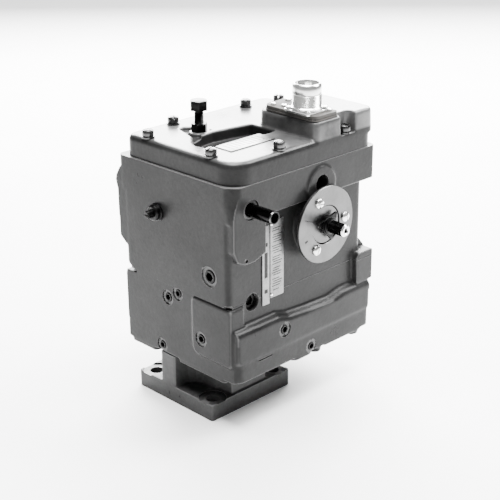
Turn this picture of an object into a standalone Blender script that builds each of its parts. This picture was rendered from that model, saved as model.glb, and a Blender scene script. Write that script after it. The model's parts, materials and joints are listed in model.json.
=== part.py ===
"""Electro-hydraulic governor actuator: a cast case on a square drive flange, with its works inside.

All sizes are in millimetres in the drive frame, whose origin is where the drive shaft's axis
meets the underside of the base flange: +X towards the output shaft, -Y towards the needle valve
side, +Z up. The row_origin empty shifts that frame so the whole actuator stands centred on the
world's origin, and MM turns millimetres into metres.
"""

import math

import bmesh
import bpy
from mathutils import Matrix, Vector

MM = 0.001
GAP = 0.3  # clearance between neighbouring faces
ROUND = 16  # sides of a turned piece that shows
SMALL = 8  # sides of a small or inner turned piece

# Overall extremes, which set where the model's centre lies
X_MIN, X_MAX = -81.0, 125.5
Y_MIN, Y_MAX = -72.0, 143.0

# Base flange and neck
FLANGE_HALF = 55.5
FLANGE_HEIGHT = 18.0
BOLT_HALF = 42.85  # half of the 85.7 mm bolt square
BOLT_HOLE_R = 6.75
SPOTFACE_R = 14.0
SPOTFACE_Z = 16.5
NECK_TOP = 51.0
CASE_BOTTOM = 52.5
BASE_SCREWS = ((-8.0, -45.0), (45.0, -1.0), (-45.0, 0.0), (0.0, 45.0))
BASE_SCREW_R = 4.3  # clearance for the screws up into the lower case
SEAL_SEAT_R = 20.0
BEARING_SEAT_R = 23.5
BEARING_Z = (20.0, 36.6)

# Lower case
LOWER_X = (-68.0, 93.6)
LOWER_Y = (-55.5, 138.0)
PANEL_X = 84.0  # the flat side panel above the ledge
LEDGE_Z = (99.0, 107.0)
LOWER_TOP = 131.0
BOSS_BOTTOM = 48.5
CASE_BOSSES = ((82, 39, 10), (84, 70, 6), (80, 122, 9), (-56, 39, 10), (-56, 122, 9))  # X, Y, radius

# Upper case and cover
UPPER_BOTTOM = 132.4
UPPER_X = (-67.0, 84.0)
UPPER_Y = (-58.3, 131.0)
RIM_X = (-71.0, 91.5)
RIM_Y = (-58.3, 141.6)
RIM_Z = 217.0
UPPER_TOP = 250.9
COVER_BOTTOM = 252.2
COVER_TOP = 273.6
BOX_TOP = 290.6  # top of the cover's raised box
PLATE_TOP = 296.0
WELL = (-38, -42, 76, 124, 8)  # the upper case's open top, as a rounded rectangle
CASE_HOLLOW = (-59, -50.3, 76, 123, 8)  # and the hollow below it
CONNECTOR = (66.0, 66.0)
CONNECTOR_TOP = 323.6
CONNECTOR_R = 13.2
WIRE_HOLE = (64, 66)
WIRE_HOLE_R = 8
TORQUE_MOTOR = (44, 266)  # X, Z of the armature's pivot

# Shafts
SHAFT_R = 10.0  # drive shaft
TERMINAL = (59.0, 190.0)  # Y, Z of the output shaft's axis
TERMINAL_R = 8.0
TERMINAL_TEETH = 24
BUSH_R = 12.0
LIMIT = (-34.5, 227.2)  # Y, Z of the limit shaft's axis
LIMIT_R = 6.3
LIMIT_END = 121.0
SPEED_SCREW = (-14.0, -1.0)  # X, Y
SPEED_SCREW_R = 4.75
SPEED_SCREW_HEAD_Z = (294.0, 304.6)
SPEEDER_PIVOT = (-33.0, 232.0)  # X, Z

# Pump gears
GEAR_TEETH = 17
GEAR_MODULE = 2.0
GEAR_CENTRES = GEAR_TEETH * GEAR_MODULE
GEAR_BACKLASH = 0.5
IDLER_ANGLE = math.radians(225)
IDLER = (GEAR_CENTRES * math.cos(IDLER_ANGLE), GEAR_CENTRES * math.sin(IDLER_ANGLE))
GEAR_Z = (78.3, 97.7)
CHAMBER_R = 19.8
IDLER_PIN_R = 5.0
PUMP_COVER_R = 24.2

# Power cylinder, accumulators, ballhead
CYLINDER = (30.0, 88.0)  # X, Y
CYLINDER_R = 22.0
LEVER_RADIUS = 30.0
LEVER_ANGLE = math.radians(-10)
ACCUMULATORS = ((50.0, -26.0), (50.0, 14.0))
ACCUMULATOR_R = 16.0
PIVOT_X, PIVOT_Z = 20.0, 172.0  # flyweight pivots
PIN_R = 1.6  # pivot pins of the flyweights, lever and armature
PIN_HOLE_R = PIN_R + GAP

# Scale disc on the output shaft
DISC_R = 39.0
DISC_X = (97.0, 100.0)
DISC_SCREW_RADIUS = 26.8
DISC_SCREW_ANGLES = (3, 114, 238)
DISC_SCREW_R = 2.5
POINTER_ANGLE = 164.5

TROUGH_FLOOR = 259.1
GROOVE_FLOOR = 270.0

# Plugs: X and Z on the front faces, Y and Z on the side, each with its radius
UPPER_FRONT_PLUG = (58, 158, 7.0)
LOWER_FRONT_PLUGS = ((9, 124.5, 4.5), (-6, 116, 5.0), (44, 88, 5.0), (-17, 60, 4.5))
LOWER_SIDE_PLUGS = ((9, 92, 5.0), (48, 60, 4.5))
DEEP_PLUG = (-27, 130.4, 9.0)
NEEDLE = (-14, 205)  # X, Z
SIGHT_GLASS = (5, 185)  # X, Z on the rear wall

# How a local (u, v, w) lies in the drive frame when w runs along each axis
AXES = {
    "X": Matrix(((0, 0, 1), (1, 0, 0), (0, 1, 0))),
    "Y": Matrix(((1, 0, 0), (0, 0, 1), (0, 1, 0))),
    "Z": Matrix.Identity(3),
}

for old in list(bpy.data.objects):
    bpy.data.objects.remove(old)

row_origin = bpy.data.objects.new("row_origin", None)
bpy.context.collection.objects.link(row_origin)
row_origin.location = Vector((-(X_MIN + X_MAX) / 2, -(Y_MIN + Y_MAX) / 2, 0)) * MM


# Materials

def material(name, colour, roughness, metallic):
    """A plain Principled material."""
    made = bpy.data.materials.new(name)
    made.use_nodes = True
    shader = made.node_tree.nodes["Principled BSDF"]
    shader.inputs["Base Color"].default_value = (*colour, 1)
    shader.inputs["Roughness"].default_value = roughness
    shader.inputs["Metallic"].default_value = metallic
    made.diffuse_color = (*colour, 1)
    return made


PAINT = material("grey_paint", (0.20, 0.20, 0.20), 0.45, 0.0)
GASKET = material("gasket", (0.05, 0.045, 0.04), 0.8, 0.0)
DARK_STEEL = material("dark_steel", (0.06, 0.06, 0.065), 0.35, 0.9)
STEEL = material("steel", (0.45, 0.45, 0.46), 0.3, 1.0)
BRIGHT = material("bright_nickel", (0.75, 0.75, 0.74), 0.22, 1.0)
ZINC = material("scale_metal", (0.5, 0.5, 0.5), 0.4, 0.9)
PLATE = material("nameplate_metal", (0.7, 0.7, 0.7), 0.35, 0.8)
BRONZE = material("bronze", (0.5, 0.33, 0.15), 0.35, 1.0)
RUBBER = material("rubber", (0.02, 0.02, 0.02), 0.6, 0.0)
COPPER = material("copper_wire", (0.55, 0.25, 0.12), 0.35, 1.0)
GLASS = material("glass", (0.6, 0.65, 0.6), 0.1, 0.0)
INSERT = material("connector_insert", (0.03, 0.03, 0.03), 0.5, 0.0)


# Outlines and solids, in millimetres

def circle(radius, centre=(0, 0), sides=ROUND, turn=0.0):
    """A regular outline of so many sides."""
    cu, cv = centre
    angles = [turn + 2 * math.pi * i / sides for i in range(sides)]
    return [(cu + radius * math.cos(a), cv + radius * math.sin(a)) for a in angles]


def rounded(u_low, v_low, u_high, v_high, radius, steps=4):
    """A rectangle with round corners."""
    corners = (
        (u_high - radius, v_high - radius, 0),
        (u_low + radius, v_high - radius, 90),
        (u_low + radius, v_low + radius, 180),
        (u_high - radius, v_low + radius, 270),
    )
    points = []
    for cu, cv, start in corners:
        for i in range(steps + 1):
            a = math.radians(start + 90 * i / steps)
            points.append((cu + radius * math.cos(a), cv + radius * math.sin(a)))
    return points


def prism(bm, outline, low, high, axis="Z"):
    """Add a closed prism: an outline swept along an axis."""
    turn = AXES[axis]
    bottom = [bm.verts.new(turn @ Vector((u, v, low))) for u, v in outline]
    top = [bm.verts.new(turn @ Vector((u, v, high))) for u, v in outline]
    bm.faces.new(bottom)
    bm.faces.new(top)
    for i in range(len(outline)):
        j = (i + 1) % len(outline)
        bm.faces.new((bottom[i], bottom[j], top[j], top[i]))


def turned(bm, profile, axis="Z", centre=(0, 0), sides=ROUND):
    """Add a turned body. The profile is (radius, height) points; if its ends are off the axis it
    is closed into a ring."""
    turn = AXES[axis]
    cu, cv = centre
    rings = []
    for radius, height in profile:
        if radius == 0:
            rings.append([bm.verts.new(turn @ Vector((cu, cv, height)))])
            continue
        ring = [turn @ Vector((u, v, height)) for u, v in circle(radius, centre, sides)]
        rings.append([bm.verts.new(point) for point in ring])
    pairs = list(zip(rings, rings[1:]))
    if profile[0][0] > 0:
        pairs.append((rings[-1], rings[0]))
    for first, second in pairs:
        for i in range(sides):
            j = (i + 1) % sides
            if len(first) == 1:
                bm.faces.new((first[0], second[i], second[j]))
            elif len(second) == 1:
                bm.faces.new((first[i], first[j], second[0]))
            else:
                bm.faces.new((first[i], first[j], second[j], second[i]))


def rod(bm, radius, low, high, axis="Z", centre=(0, 0), sides=ROUND, chamfer=0.0):
    """Add a solid round bar, with a chamfer at its high end if one is given."""
    profile = [(0, low), (radius, low), (radius, high), (0, high)]
    if chamfer:
        profile[2:3] = [(radius, high - chamfer), (radius - chamfer, high)]
    turned(bm, profile, axis, centre, sides)


def tube(bm, inner, outer, low, high, axis="Z", centre=(0, 0), sides=ROUND):
    """Add a plain ring or sleeve."""
    turned(bm, [(inner, low), (outer, low), (outer, high), (inner, high)], axis, centre, sides)


def block(bm, low, high):
    """Add a box from its lowest to its highest corner."""
    outline = [(low[0], low[1]), (high[0], low[1]), (high[0], high[1]), (low[0], high[1])]
    prism(bm, outline, low[2], high[2])


def coil(bm, radius, wire, low, high, turns, centre=(0, 0), steps=8, sides=5):
    """Add a round-wire compression spring between two heights."""
    cx, cy = centre
    rise = (high - low - 2 * wire) / (turns * steps)
    rings = []
    for i in range(turns * steps + 1):
        a = 2 * math.pi * i / steps
        z = low + wire + rise * i
        ring = []
        for k in range(sides):
            b = 2 * math.pi * k / sides
            r = radius + wire * math.cos(b)
            place = (cx + r * math.cos(a), cy + r * math.sin(a), z + wire * math.sin(b))
            ring.append(bm.verts.new(place))
        rings.append(ring)
    bm.faces.new(rings[0])
    bm.faces.new(rings[-1])
    for first, second in zip(rings, rings[1:]):
        for k in range(sides):
            m = (k + 1) % sides
            bm.faces.new((first[k], first[m], second[m], second[k]))


# Objects and cuts

def mesh_object(name, bm, pivot=(0, 0, 0)):
    """Turn a bmesh in millimetres into an object whose origin is at the pivot."""
    bmesh.ops.recalc_face_normals(bm, faces=bm.faces)
    bmesh.ops.translate(bm, verts=bm.verts, vec=-Vector(pivot))
    bmesh.ops.scale(bm, verts=bm.verts, vec=(MM, MM, MM))
    mesh = bpy.data.meshes.new(name)
    bm.to_mesh(mesh)
    bm.free()
    made = bpy.data.objects.new(name, mesh)
    bpy.context.collection.objects.link(made)
    made.parent = row_origin
    made.location = Vector(pivot) * MM
    return made


def piece(name, bm, finish, pivot=(0, 0, 0)):
    """One sub-part, shaded smooth except over its real edges."""
    made = mesh_object(name, bm, pivot)
    made.data.materials.append(finish)
    made.data.shade_smooth()
    made.data.set_sharp_from_angle(angle=math.radians(32))
    return made


def combine(target, bm, operation):
    """Add a Boolean with a hidden helper solid."""
    helper = mesh_object(f"{target.name}_{operation.lower()}_{len(target.modifiers)}", bm)
    helper.hide_render = True
    helper.display_type = "WIRE"
    step = target.modifiers.new(operation.title(), "BOOLEAN")
    step.operation = operation
    step.solver = "EXACT"
    step.object = helper
    return step


def cut(target, bm):
    """Take a solid away from the target."""
    return combine(target, bm, "DIFFERENCE")


def fuse(target, bm):
    """Join a solid to the target."""
    combine(target, bm, "UNION")


# Housing

def neck_outline():
    """The neck's cross shape: four ribs out to the flange's sides, with a pocket at each corner."""
    edge = FLANGE_HALF - 0.3
    return [
        (-17, -edge), (1, -edge), (3, -38), (9, -32), (32, -30), (36, -26), (edge, -25),
        (edge, 23), (36, 24), (26, 30), (22, 36), (20, edge), (-20, edge), (-22, 36), (-27, 29),
        (-36, 24), (-edge, 22), (-edge, -22), (-36, -24), (-27, -29), (-20, -36),
    ]


def make_base():
    """The square flange with its neck, and the gasket above."""
    bm = bmesh.new()
    prism(bm, rounded(-FLANGE_HALF, -FLANGE_HALF, FLANGE_HALF, FLANGE_HALF, 9), 0, FLANGE_HEIGHT)
    base = piece("base_flange", bm, PAINT)
    bm = bmesh.new()
    prism(bm, neck_outline(), FLANGE_HEIGHT - 2, NECK_TOP)
    fuse(base, bm)
    bm = bmesh.new()
    for x in (-BOLT_HALF, BOLT_HALF):
        for y in (-BOLT_HALF, BOLT_HALF):
            turned(bm, [
                (0, -1), (BOLT_HOLE_R, -1), (BOLT_HOLE_R, SPOTFACE_Z), (SPOTFACE_R, SPOTFACE_Z),
                (SPOTFACE_R, 44), (0, 44),
            ], centre=(x, y))
    cut(base, bm)
    bm = bmesh.new()
    bearing_low, bearing_high = BEARING_Z
    turned(bm, [
        (0, -1), (SHAFT_R + 3, -1), (SHAFT_R + 3, 5), (SEAL_SEAT_R, 5), (SEAL_SEAT_R, bearing_low),
        (BEARING_SEAT_R, bearing_low), (BEARING_SEAT_R, bearing_high), (BEARING_SEAT_R + 1.5, bearing_high),
        (BEARING_SEAT_R + 1.5, bearing_high + 2.2), (BEARING_SEAT_R, bearing_high + 2.2),
        (BEARING_SEAT_R, NECK_TOP + 1), (0, NECK_TOP + 1),
    ])
    for centre in BASE_SCREWS:
        counterbore = [(0, -1), (7, -1), (7, 30), (BASE_SCREW_R, 30), (BASE_SCREW_R, 60), (0, 60)]
        turned(bm, counterbore, centre=centre, sides=SMALL)
    cut(base, bm)

    bm = bmesh.new()
    prism(bm, neck_outline(), NECK_TOP + GAP, CASE_BOTTOM - GAP)
    gasket = piece("base_gasket", bm, GASKET)
    bm = bmesh.new()
    rod(bm, BEARING_SEAT_R + 1, NECK_TOP - 1, CASE_BOTTOM + 1)
    for centre in BASE_SCREWS:
        rod(bm, BASE_SCREW_R + GAP, NECK_TOP - 1, CASE_BOTTOM + 1, centre=centre, sides=SMALL)
    cut(gasket, bm)


def make_lower_case():
    """The pump case, with its bores open to the top."""
    low_x, high_x = LOWER_X
    profile = [
        (low_x, CASE_BOTTOM), (high_x, CASE_BOTTOM), (high_x, LEDGE_Z[0]), (PANEL_X, LEDGE_Z[1]),
        (PANEL_X, LOWER_TOP), (low_x - 2, LOWER_TOP), (low_x - 2, 80), (low_x, 74),
    ]
    bm = bmesh.new()
    prism(bm, profile, LOWER_Y[0], LOWER_Y[1], "Y")
    case = piece("lower_case", bm, PAINT)
    bm = bmesh.new()
    prism(bm, rounded(-62, 126, 80, Y_MAX, 5), 102, LOWER_TOP)
    fuse(case, bm)
    bm = bmesh.new()
    block(bm, (70, 118, 96), (92, Y_MAX - 1, LOWER_TOP - 0.6))
    fuse(case, bm)
    bm = bmesh.new()
    for x, y, radius in CASE_BOSSES:
        rod(bm, radius, BOSS_BOTTOM, CASE_BOTTOM + 8, centre=(x, y))
    fuse(case, bm)

    bm = bmesh.new()
    rod(bm, SHAFT_R + GAP, 40, 80)
    for centre in BASE_SCREWS:
        rod(bm, BASE_SCREW_R, 50, 74, centre=centre, sides=SMALL)
    rod(bm, IDLER_PIN_R + GAP, 60, 79, centre=IDLER, sides=SMALL)
    for x, y in ACCUMULATORS:
        rod(bm, ACCUMULATOR_R, 76, 140, centre=(x, y))
    rod(bm, CYLINDER_R, 60, 140, centre=CYLINDER)
    prism(bm, rounded(-58, 52, 0, 122, 8), 76, 140)
    cut(case, bm)
    bm = bmesh.new()
    rod(bm, CHAMBER_R, 78, 99)
    rod(bm, CHAMBER_R, 78, 98.7, centre=IDLER)
    prism(bm, pump_cover_outline(PUMP_COVER_R + GAP), 98, 140)
    cut(case, bm).use_self = True
    bm = bmesh.new()
    for x, z, radius in LOWER_FRONT_PLUGS:
        rod(bm, radius + GAP, -60, -46, "Y", (x, z), SMALL)
    for y, z, radius in LOWER_SIDE_PLUGS:
        rod(bm, radius + GAP, 84, 100, "X", (y, z), SMALL)
    rod(bm, DEEP_PLUG[2], 70, 100, "X", DEEP_PLUG[:2], SMALL)
    cut(case, bm)


def pump_cover_outline(radius):
    """A stadium that takes in both pump gears."""
    points = []
    for centre, start in ((IDLER, 135), ((0, 0), -45)):
        for i in range(13):
            a = math.radians(start + 180 * i / 12)
            points.append((centre[0] + radius * math.cos(a), centre[1] + radius * math.sin(a)))
    return points


def make_pump():
    """Pump gears' cover plate, idler pin and shaft bushing."""
    bm = bmesh.new()
    prism(bm, pump_cover_outline(PUMP_COVER_R), 98.3, 106)
    cover = piece("pump_cover", bm, STEEL)
    bm = bmesh.new()
    rod(bm, SHAFT_R + GAP, 90, 110)
    rod(bm, IDLER_PIN_R + GAP, 90, 103, centre=IDLER, sides=SMALL)
    cut(cover, bm)
    bm = bmesh.new()
    rod(bm, IDLER_PIN_R, 60.5, 102.5, centre=IDLER, sides=SMALL)
    piece("idler_pin", bm, STEEL)


def make_gear(name, centre, turn, bore):
    """An involute pump gear, with a tooth centred on the given angle."""
    pitch_r = GEAR_CENTRES / 2
    pressure = math.radians(20)
    base_r = pitch_r * math.cos(pressure)
    root_r = pitch_r - 1.25 * GEAR_MODULE
    tip_r = pitch_r + 0.95 * GEAR_MODULE
    half_pitch = math.pi / (2 * GEAR_TEETH) - GEAR_BACKLASH / (2 * pitch_r)

    def half_angle(radius):
        slope = math.acos(min(1.0, base_r / max(radius, base_r)))
        return half_pitch + math.tan(pressure) - pressure - math.tan(slope) + slope

    levels = [root_r, base_r] + [base_r + (tip_r - base_r) * k / 2 for k in (1, 2)]
    flank = [(radius, half_angle(radius)) for radius in levels]
    outline = []
    for tooth in range(GEAR_TEETH):
        middle = turn + 2 * math.pi * tooth / GEAR_TEETH
        for radius, spread in flank:
            outline.append((radius, middle - spread))
        for radius, spread in reversed(flank):
            outline.append((radius, middle + spread))
    points = [(centre[0] + r * math.cos(a), centre[1] + r * math.sin(a)) for r, a in outline]
    bm = bmesh.new()
    prism(bm, points, *GEAR_Z)
    gear = piece(name, bm, STEEL, (*centre, 0))
    bm = bmesh.new()
    rod(bm, bore, GEAR_Z[0] - 2, GEAR_Z[1] + 2, centre=centre)
    cut(gear, bm)


def make_drive():
    """The drive shaft with its bearing, seal, gear, sleeve and ballhead."""
    bm = bmesh.new()
    rod(bm, SHAFT_R, 2, 111.7)
    shaft = piece("drive_shaft", bm, STEEL)
    bm = bmesh.new()
    prism(bm, serration(7, 6.3, 12), 0, 20)
    cut(shaft, bm)
    make_gear("pump_drive_gear", (0, 0), IDLER_ANGLE, SHAFT_R + GAP)
    half_tooth = math.pi / GEAR_TEETH
    make_gear("pump_idler_gear", IDLER, IDLER_ANGLE + math.pi + half_tooth, IDLER_PIN_R + 2 * GAP)

    bm = bmesh.new()
    tube(bm, SHAFT_R + GAP, BEARING_SEAT_R - GAP, BEARING_Z[0] + GAP, BEARING_Z[1] - GAP)
    piece("drive_bearing", bm, STEEL)
    bm = bmesh.new()
    tube(bm, SHAFT_R + GAP, SEAL_SEAT_R - GAP, 6, 16)
    piece("drive_oil_seal", bm, RUBBER)

    bm = bmesh.new()
    tube(bm, 6.3, 12, 112, 158)
    piece("pilot_sleeve", bm, STEEL)
    bm = bmesh.new()
    tube(bm, 6.3, 27, 158.3, 163.8)
    ballhead = piece("ballhead", bm, STEEL)
    bm = bmesh.new()
    for x in (-PIVOT_X, PIVOT_X):
        for y in (-9.5, 6.5):
            block(bm, (x - 4.5, y, PIVOT_Z - 10), (x + 4.5, y + 3, PIVOT_Z + 4))
    fuse(ballhead, bm)
    bm = bmesh.new()
    for side in (-1, 1):
        rod(bm, PIN_R, -8.8, 8.8, "Y", (side * PIVOT_X, PIVOT_Z), SMALL)
    fuse(ballhead, bm)
    for side, name in ((1, "flyweight_right"), (-1, "flyweight_left")):
        outline = [
            (7, 174.5), (17, 168.5), (23, 168.5), (24.5, 175), (27, 180), (37, 181), (40, 185),
            (40, 200), (36, 204), (29, 204), (25, 200), (25, 186), (19, 179), (16, 177), (7, 178),
        ]
        bm = bmesh.new()
        prism(bm, [(side * x, z) for x, z in outline], -6, 6, "Y")
        weight = piece(name, bm, BRONZE, (side * PIVOT_X, 0, PIVOT_Z))
        bm = bmesh.new()
        rod(bm, PIN_HOLE_R, -12, 12, "Y", (side * PIVOT_X, PIVOT_Z), SMALL)
        cut(weight, bm)

    bm = bmesh.new()
    stem = [(0, 122), (6, 122), (6, 132), (4, 132), (4, 140), (6, 140), (6, 152), (4.5, 152)]
    stem += [(4.5, 178.6), (10, 178.6), (10, 182), (5, 182), (5, 186), (0, 186)]
    turned(bm, stem, sides=SMALL)
    piece("pilot_plunger", bm, STEEL)


def serration(outer, inner, count):
    """The outline of a serrated hole or shaft end."""
    points = []
    for i in range(count * 2):
        a = math.pi * i / count
        radius = outer if i % 2 == 0 else inner
        points.append((radius * math.cos(a), radius * math.sin(a)))
    return points


def make_speed_setting():
    """Speeder spring, its plug and lever, and the adjusting screw above them."""
    bm = bmesh.new()
    coil(bm, 8, 1.3, 182.3, 221.7, 5)
    piece("speeder_spring", bm, DARK_STEEL)
    bm = bmesh.new()
    turned(bm, [(0, 222), (11, 222), (11, 225), (3, 225), (3, 228.4), (0, 228.4)], sides=SMALL)
    piece("speeder_plug", bm, STEEL)
    bm = bmesh.new()
    prism(bm, rounded(-37, 229, 8, 235, 2.9, 3), -6, 6, "Y")
    lever = piece("speeder_lever", bm, STEEL, (-33, 0, 232))
    bm = bmesh.new()
    rod(bm, PIN_HOLE_R, -12, 12, "Y", SPEEDER_PIVOT, SMALL)
    cut(lever, bm)
    bm = bmesh.new()
    block(bm, (-43.7, -11, 225), (-38.3, 11, 239))
    bracket = piece("speeder_lever_bracket", bm, STEEL)
    bm = bmesh.new()
    for y in (-11, 7):
        block(bm, (-40, y, 225), (-29, y + 4, 239))
    fuse(bracket, bm)
    bm = bmesh.new()
    rod(bm, PIN_R, -9, 9, "Y", SPEEDER_PIVOT, SMALL)
    fuse(bracket, bm)

    bm = bmesh.new()
    rod(bm, SPEED_SCREW_R, 236, SPEED_SCREW_HEAD_Z[0] + 2.5, centre=SPEED_SCREW, sides=SMALL)
    screw = piece("speed_screw", bm, DARK_STEEL, (*SPEED_SCREW, 0))
    bm = bmesh.new()
    prism(bm, circle(9.2, SPEED_SCREW, 6), *SPEED_SCREW_HEAD_Z)
    fuse(screw, bm)
    bm = bmesh.new()
    prism(bm, circle(8.3, SPEED_SCREW, 6), COVER_TOP + GAP, COVER_TOP + 8.3)
    nut = piece("speed_locknut", bm, DARK_STEEL, (*SPEED_SCREW, 0))
    bm = bmesh.new()
    rod(bm, SPEED_SCREW_R + GAP, COVER_TOP - 5, COVER_TOP + 20, centre=SPEED_SCREW)
    cut(nut, bm)


def make_power_cylinder():
    """The power piston with its rod and fork, its spring and the cylinder's head."""
    x, y = CYLINDER
    bm = bmesh.new()
    turned(bm, [(0, 74), (21.7, 74), (21.7, 88), (7, 88), (7, 168), (0, 168)], centre=CYLINDER)
    piston = piece("power_piston", bm, STEEL, (x, y, 0))
    bm = bmesh.new()
    block(bm, (x - 11, y - 8, 164), (x + 11, y + 8, 196))
    fuse(piston, bm)
    bm = bmesh.new()
    block(bm, (x - 6.6, y - 12, 170), (x + 6.6, y + 12, 200))
    cut(piston, bm)
    bm = bmesh.new()
    rod(bm, 4.6, x - 20, x + 20, "X", (y, lever_tip()[1]), SMALL)
    cut(piston, bm)
    bm = bmesh.new()
    coil(bm, 15, 1.8, 88.3, 123.7, 4, CYLINDER)
    piece("power_spring", bm, DARK_STEEL)
    bm = bmesh.new()
    tube(bm, 7 + GAP, 21.7, 124, 130.5, centre=CYLINDER)
    piece("power_cylinder_head", bm, STEEL)
    for number, centre in enumerate(ACCUMULATORS, 1):
        bm = bmesh.new()
        turned(bm, [(0, 78), (15.7, 78), (15.7, 92), (12, 92), (12, 83), (0, 83)], centre=centre)
        piece(f"accumulator_piston_{number}", bm, STEEL, (*centre, 0))
        bm = bmesh.new()
        coil(bm, 9, 1.6, 83.3, 128.7, 4, centre)
        piece(f"accumulator_spring_{number}", bm, DARK_STEEL)


def lever_tip():
    """Y and Z of the output lever's pin at rest."""
    y = TERMINAL[0] + LEVER_RADIUS * math.cos(LEVER_ANGLE)
    z = TERMINAL[1] + LEVER_RADIUS * math.sin(LEVER_ANGLE)
    return y, z


def make_output():
    """The output shaft, its lever, pointer, bushings, seal and scale disc."""
    y, z = TERMINAL
    pivot = (0, y, z)
    bm = bmesh.new()
    rod(bm, TERMINAL_R, -74, 106, "X", TERMINAL)
    shaft = piece("terminal_shaft", bm, DARK_STEEL, pivot)
    bm = bmesh.new()
    teeth = [(y + v, z + w) for v, w in serration(6.35, 5.75, TERMINAL_TEETH)]
    prism(bm, teeth, 104, X_MAX, "X")
    fuse(shaft, bm)
    bm = bmesh.new()
    turned(bm, [(7.2, X_MAX + 1), (4.6, X_MAX + 1), (7.2, X_MAX - 2.1)], "X", TERMINAL)
    cut(shaft, bm)
    bm = bmesh.new()
    turned(bm, [(0, 117), (2.2, 120), (2.2, 124), (3.4, 127), (0, 127)], "X", TERMINAL, SMALL)
    cut(shaft, bm)

    tip_y, tip_z = lever_tip()
    bm = bmesh.new()
    prism(bm, lever_outline(14, 6), 24, 36, "X")
    lever = piece("terminal_lever", bm, STEEL, pivot)
    bm = bmesh.new()
    rod(bm, TERMINAL_R + GAP, 20, 40, "X", TERMINAL)
    cut(lever, bm)
    bm = bmesh.new()
    rod(bm, 3, 18, 42, "X", (tip_y, tip_z), SMALL)
    fuse(lever, bm)

    bm = bmesh.new()
    prism(bm, circle(16.8, TERMINAL, 3, math.radians(POINTER_ANGLE)), 101, 104, "X")
    pointer = piece("output_pointer", bm, DARK_STEEL, pivot)
    bm = bmesh.new()
    rod(bm, TERMINAL_R + 1.8, 100, 105, "X", TERMINAL)
    fuse(pointer, bm)
    bm = bmesh.new()
    rod(bm, TERMINAL_R + GAP, 90, 110, "X", TERMINAL)
    cut(pointer, bm)

    for name, low, high, finish in (
        ("terminal_front_bush", 70, 86, BRONZE),
        ("terminal_rear_bush", -75.4, -70.3, BRONZE),
        ("terminal_seal", 86.3, 96.5, RUBBER),
    ):
        bm = bmesh.new()
        tube(bm, TERMINAL_R + GAP, BUSH_R, low, high, "X", TERMINAL)
        piece(name, bm, finish)
    bm = bmesh.new()
    tube(bm, 19.5, DISC_R, *DISC_X, "X", TERMINAL, 32)
    disc = piece("scale_disc", bm, ZINC)
    bm = bmesh.new()
    for centre in disc_screws():
        rod(bm, DISC_SCREW_R, 90, 102, "X", centre, SMALL)
    cut(disc, bm)
    bm = bmesh.new()
    tube(bm, TERMINAL_R + GAP, 19.2, 97, 98.6, "X", TERMINAL)
    piece("seal_retainer", bm, ZINC)
    bm = bmesh.new()
    turned(bm, [(0, X_MIN), (14, X_MIN), (16, X_MIN + 2), (16, -76.2), (0, -76.2)], "X", TERMINAL)
    piece("blind_bearing_cap", bm, PAINT)


def lever_outline(hub, end):
    """The output lever: a hub and a round end joined by straight flanks."""
    tip = lever_tip()
    points = []
    for (cu, cv), radius, start, sweep in (
        (TERMINAL, hub, 60, 240),
        (tip, end, -90, 180),
    ):
        for i in range(9):
            a = LEVER_ANGLE + math.radians(start + sweep * i / 8)
            points.append((cu + radius * math.cos(a), cv + radius * math.sin(a)))
    return points


def disc_screws():
    """Y and Z of the scale disc's screws."""
    angles = [math.radians(a) for a in DISC_SCREW_ANGLES]
    radius = DISC_SCREW_RADIUS
    return [(TERMINAL[0] + radius * math.cos(a), TERMINAL[1] + radius * math.sin(a)) for a in angles]


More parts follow.
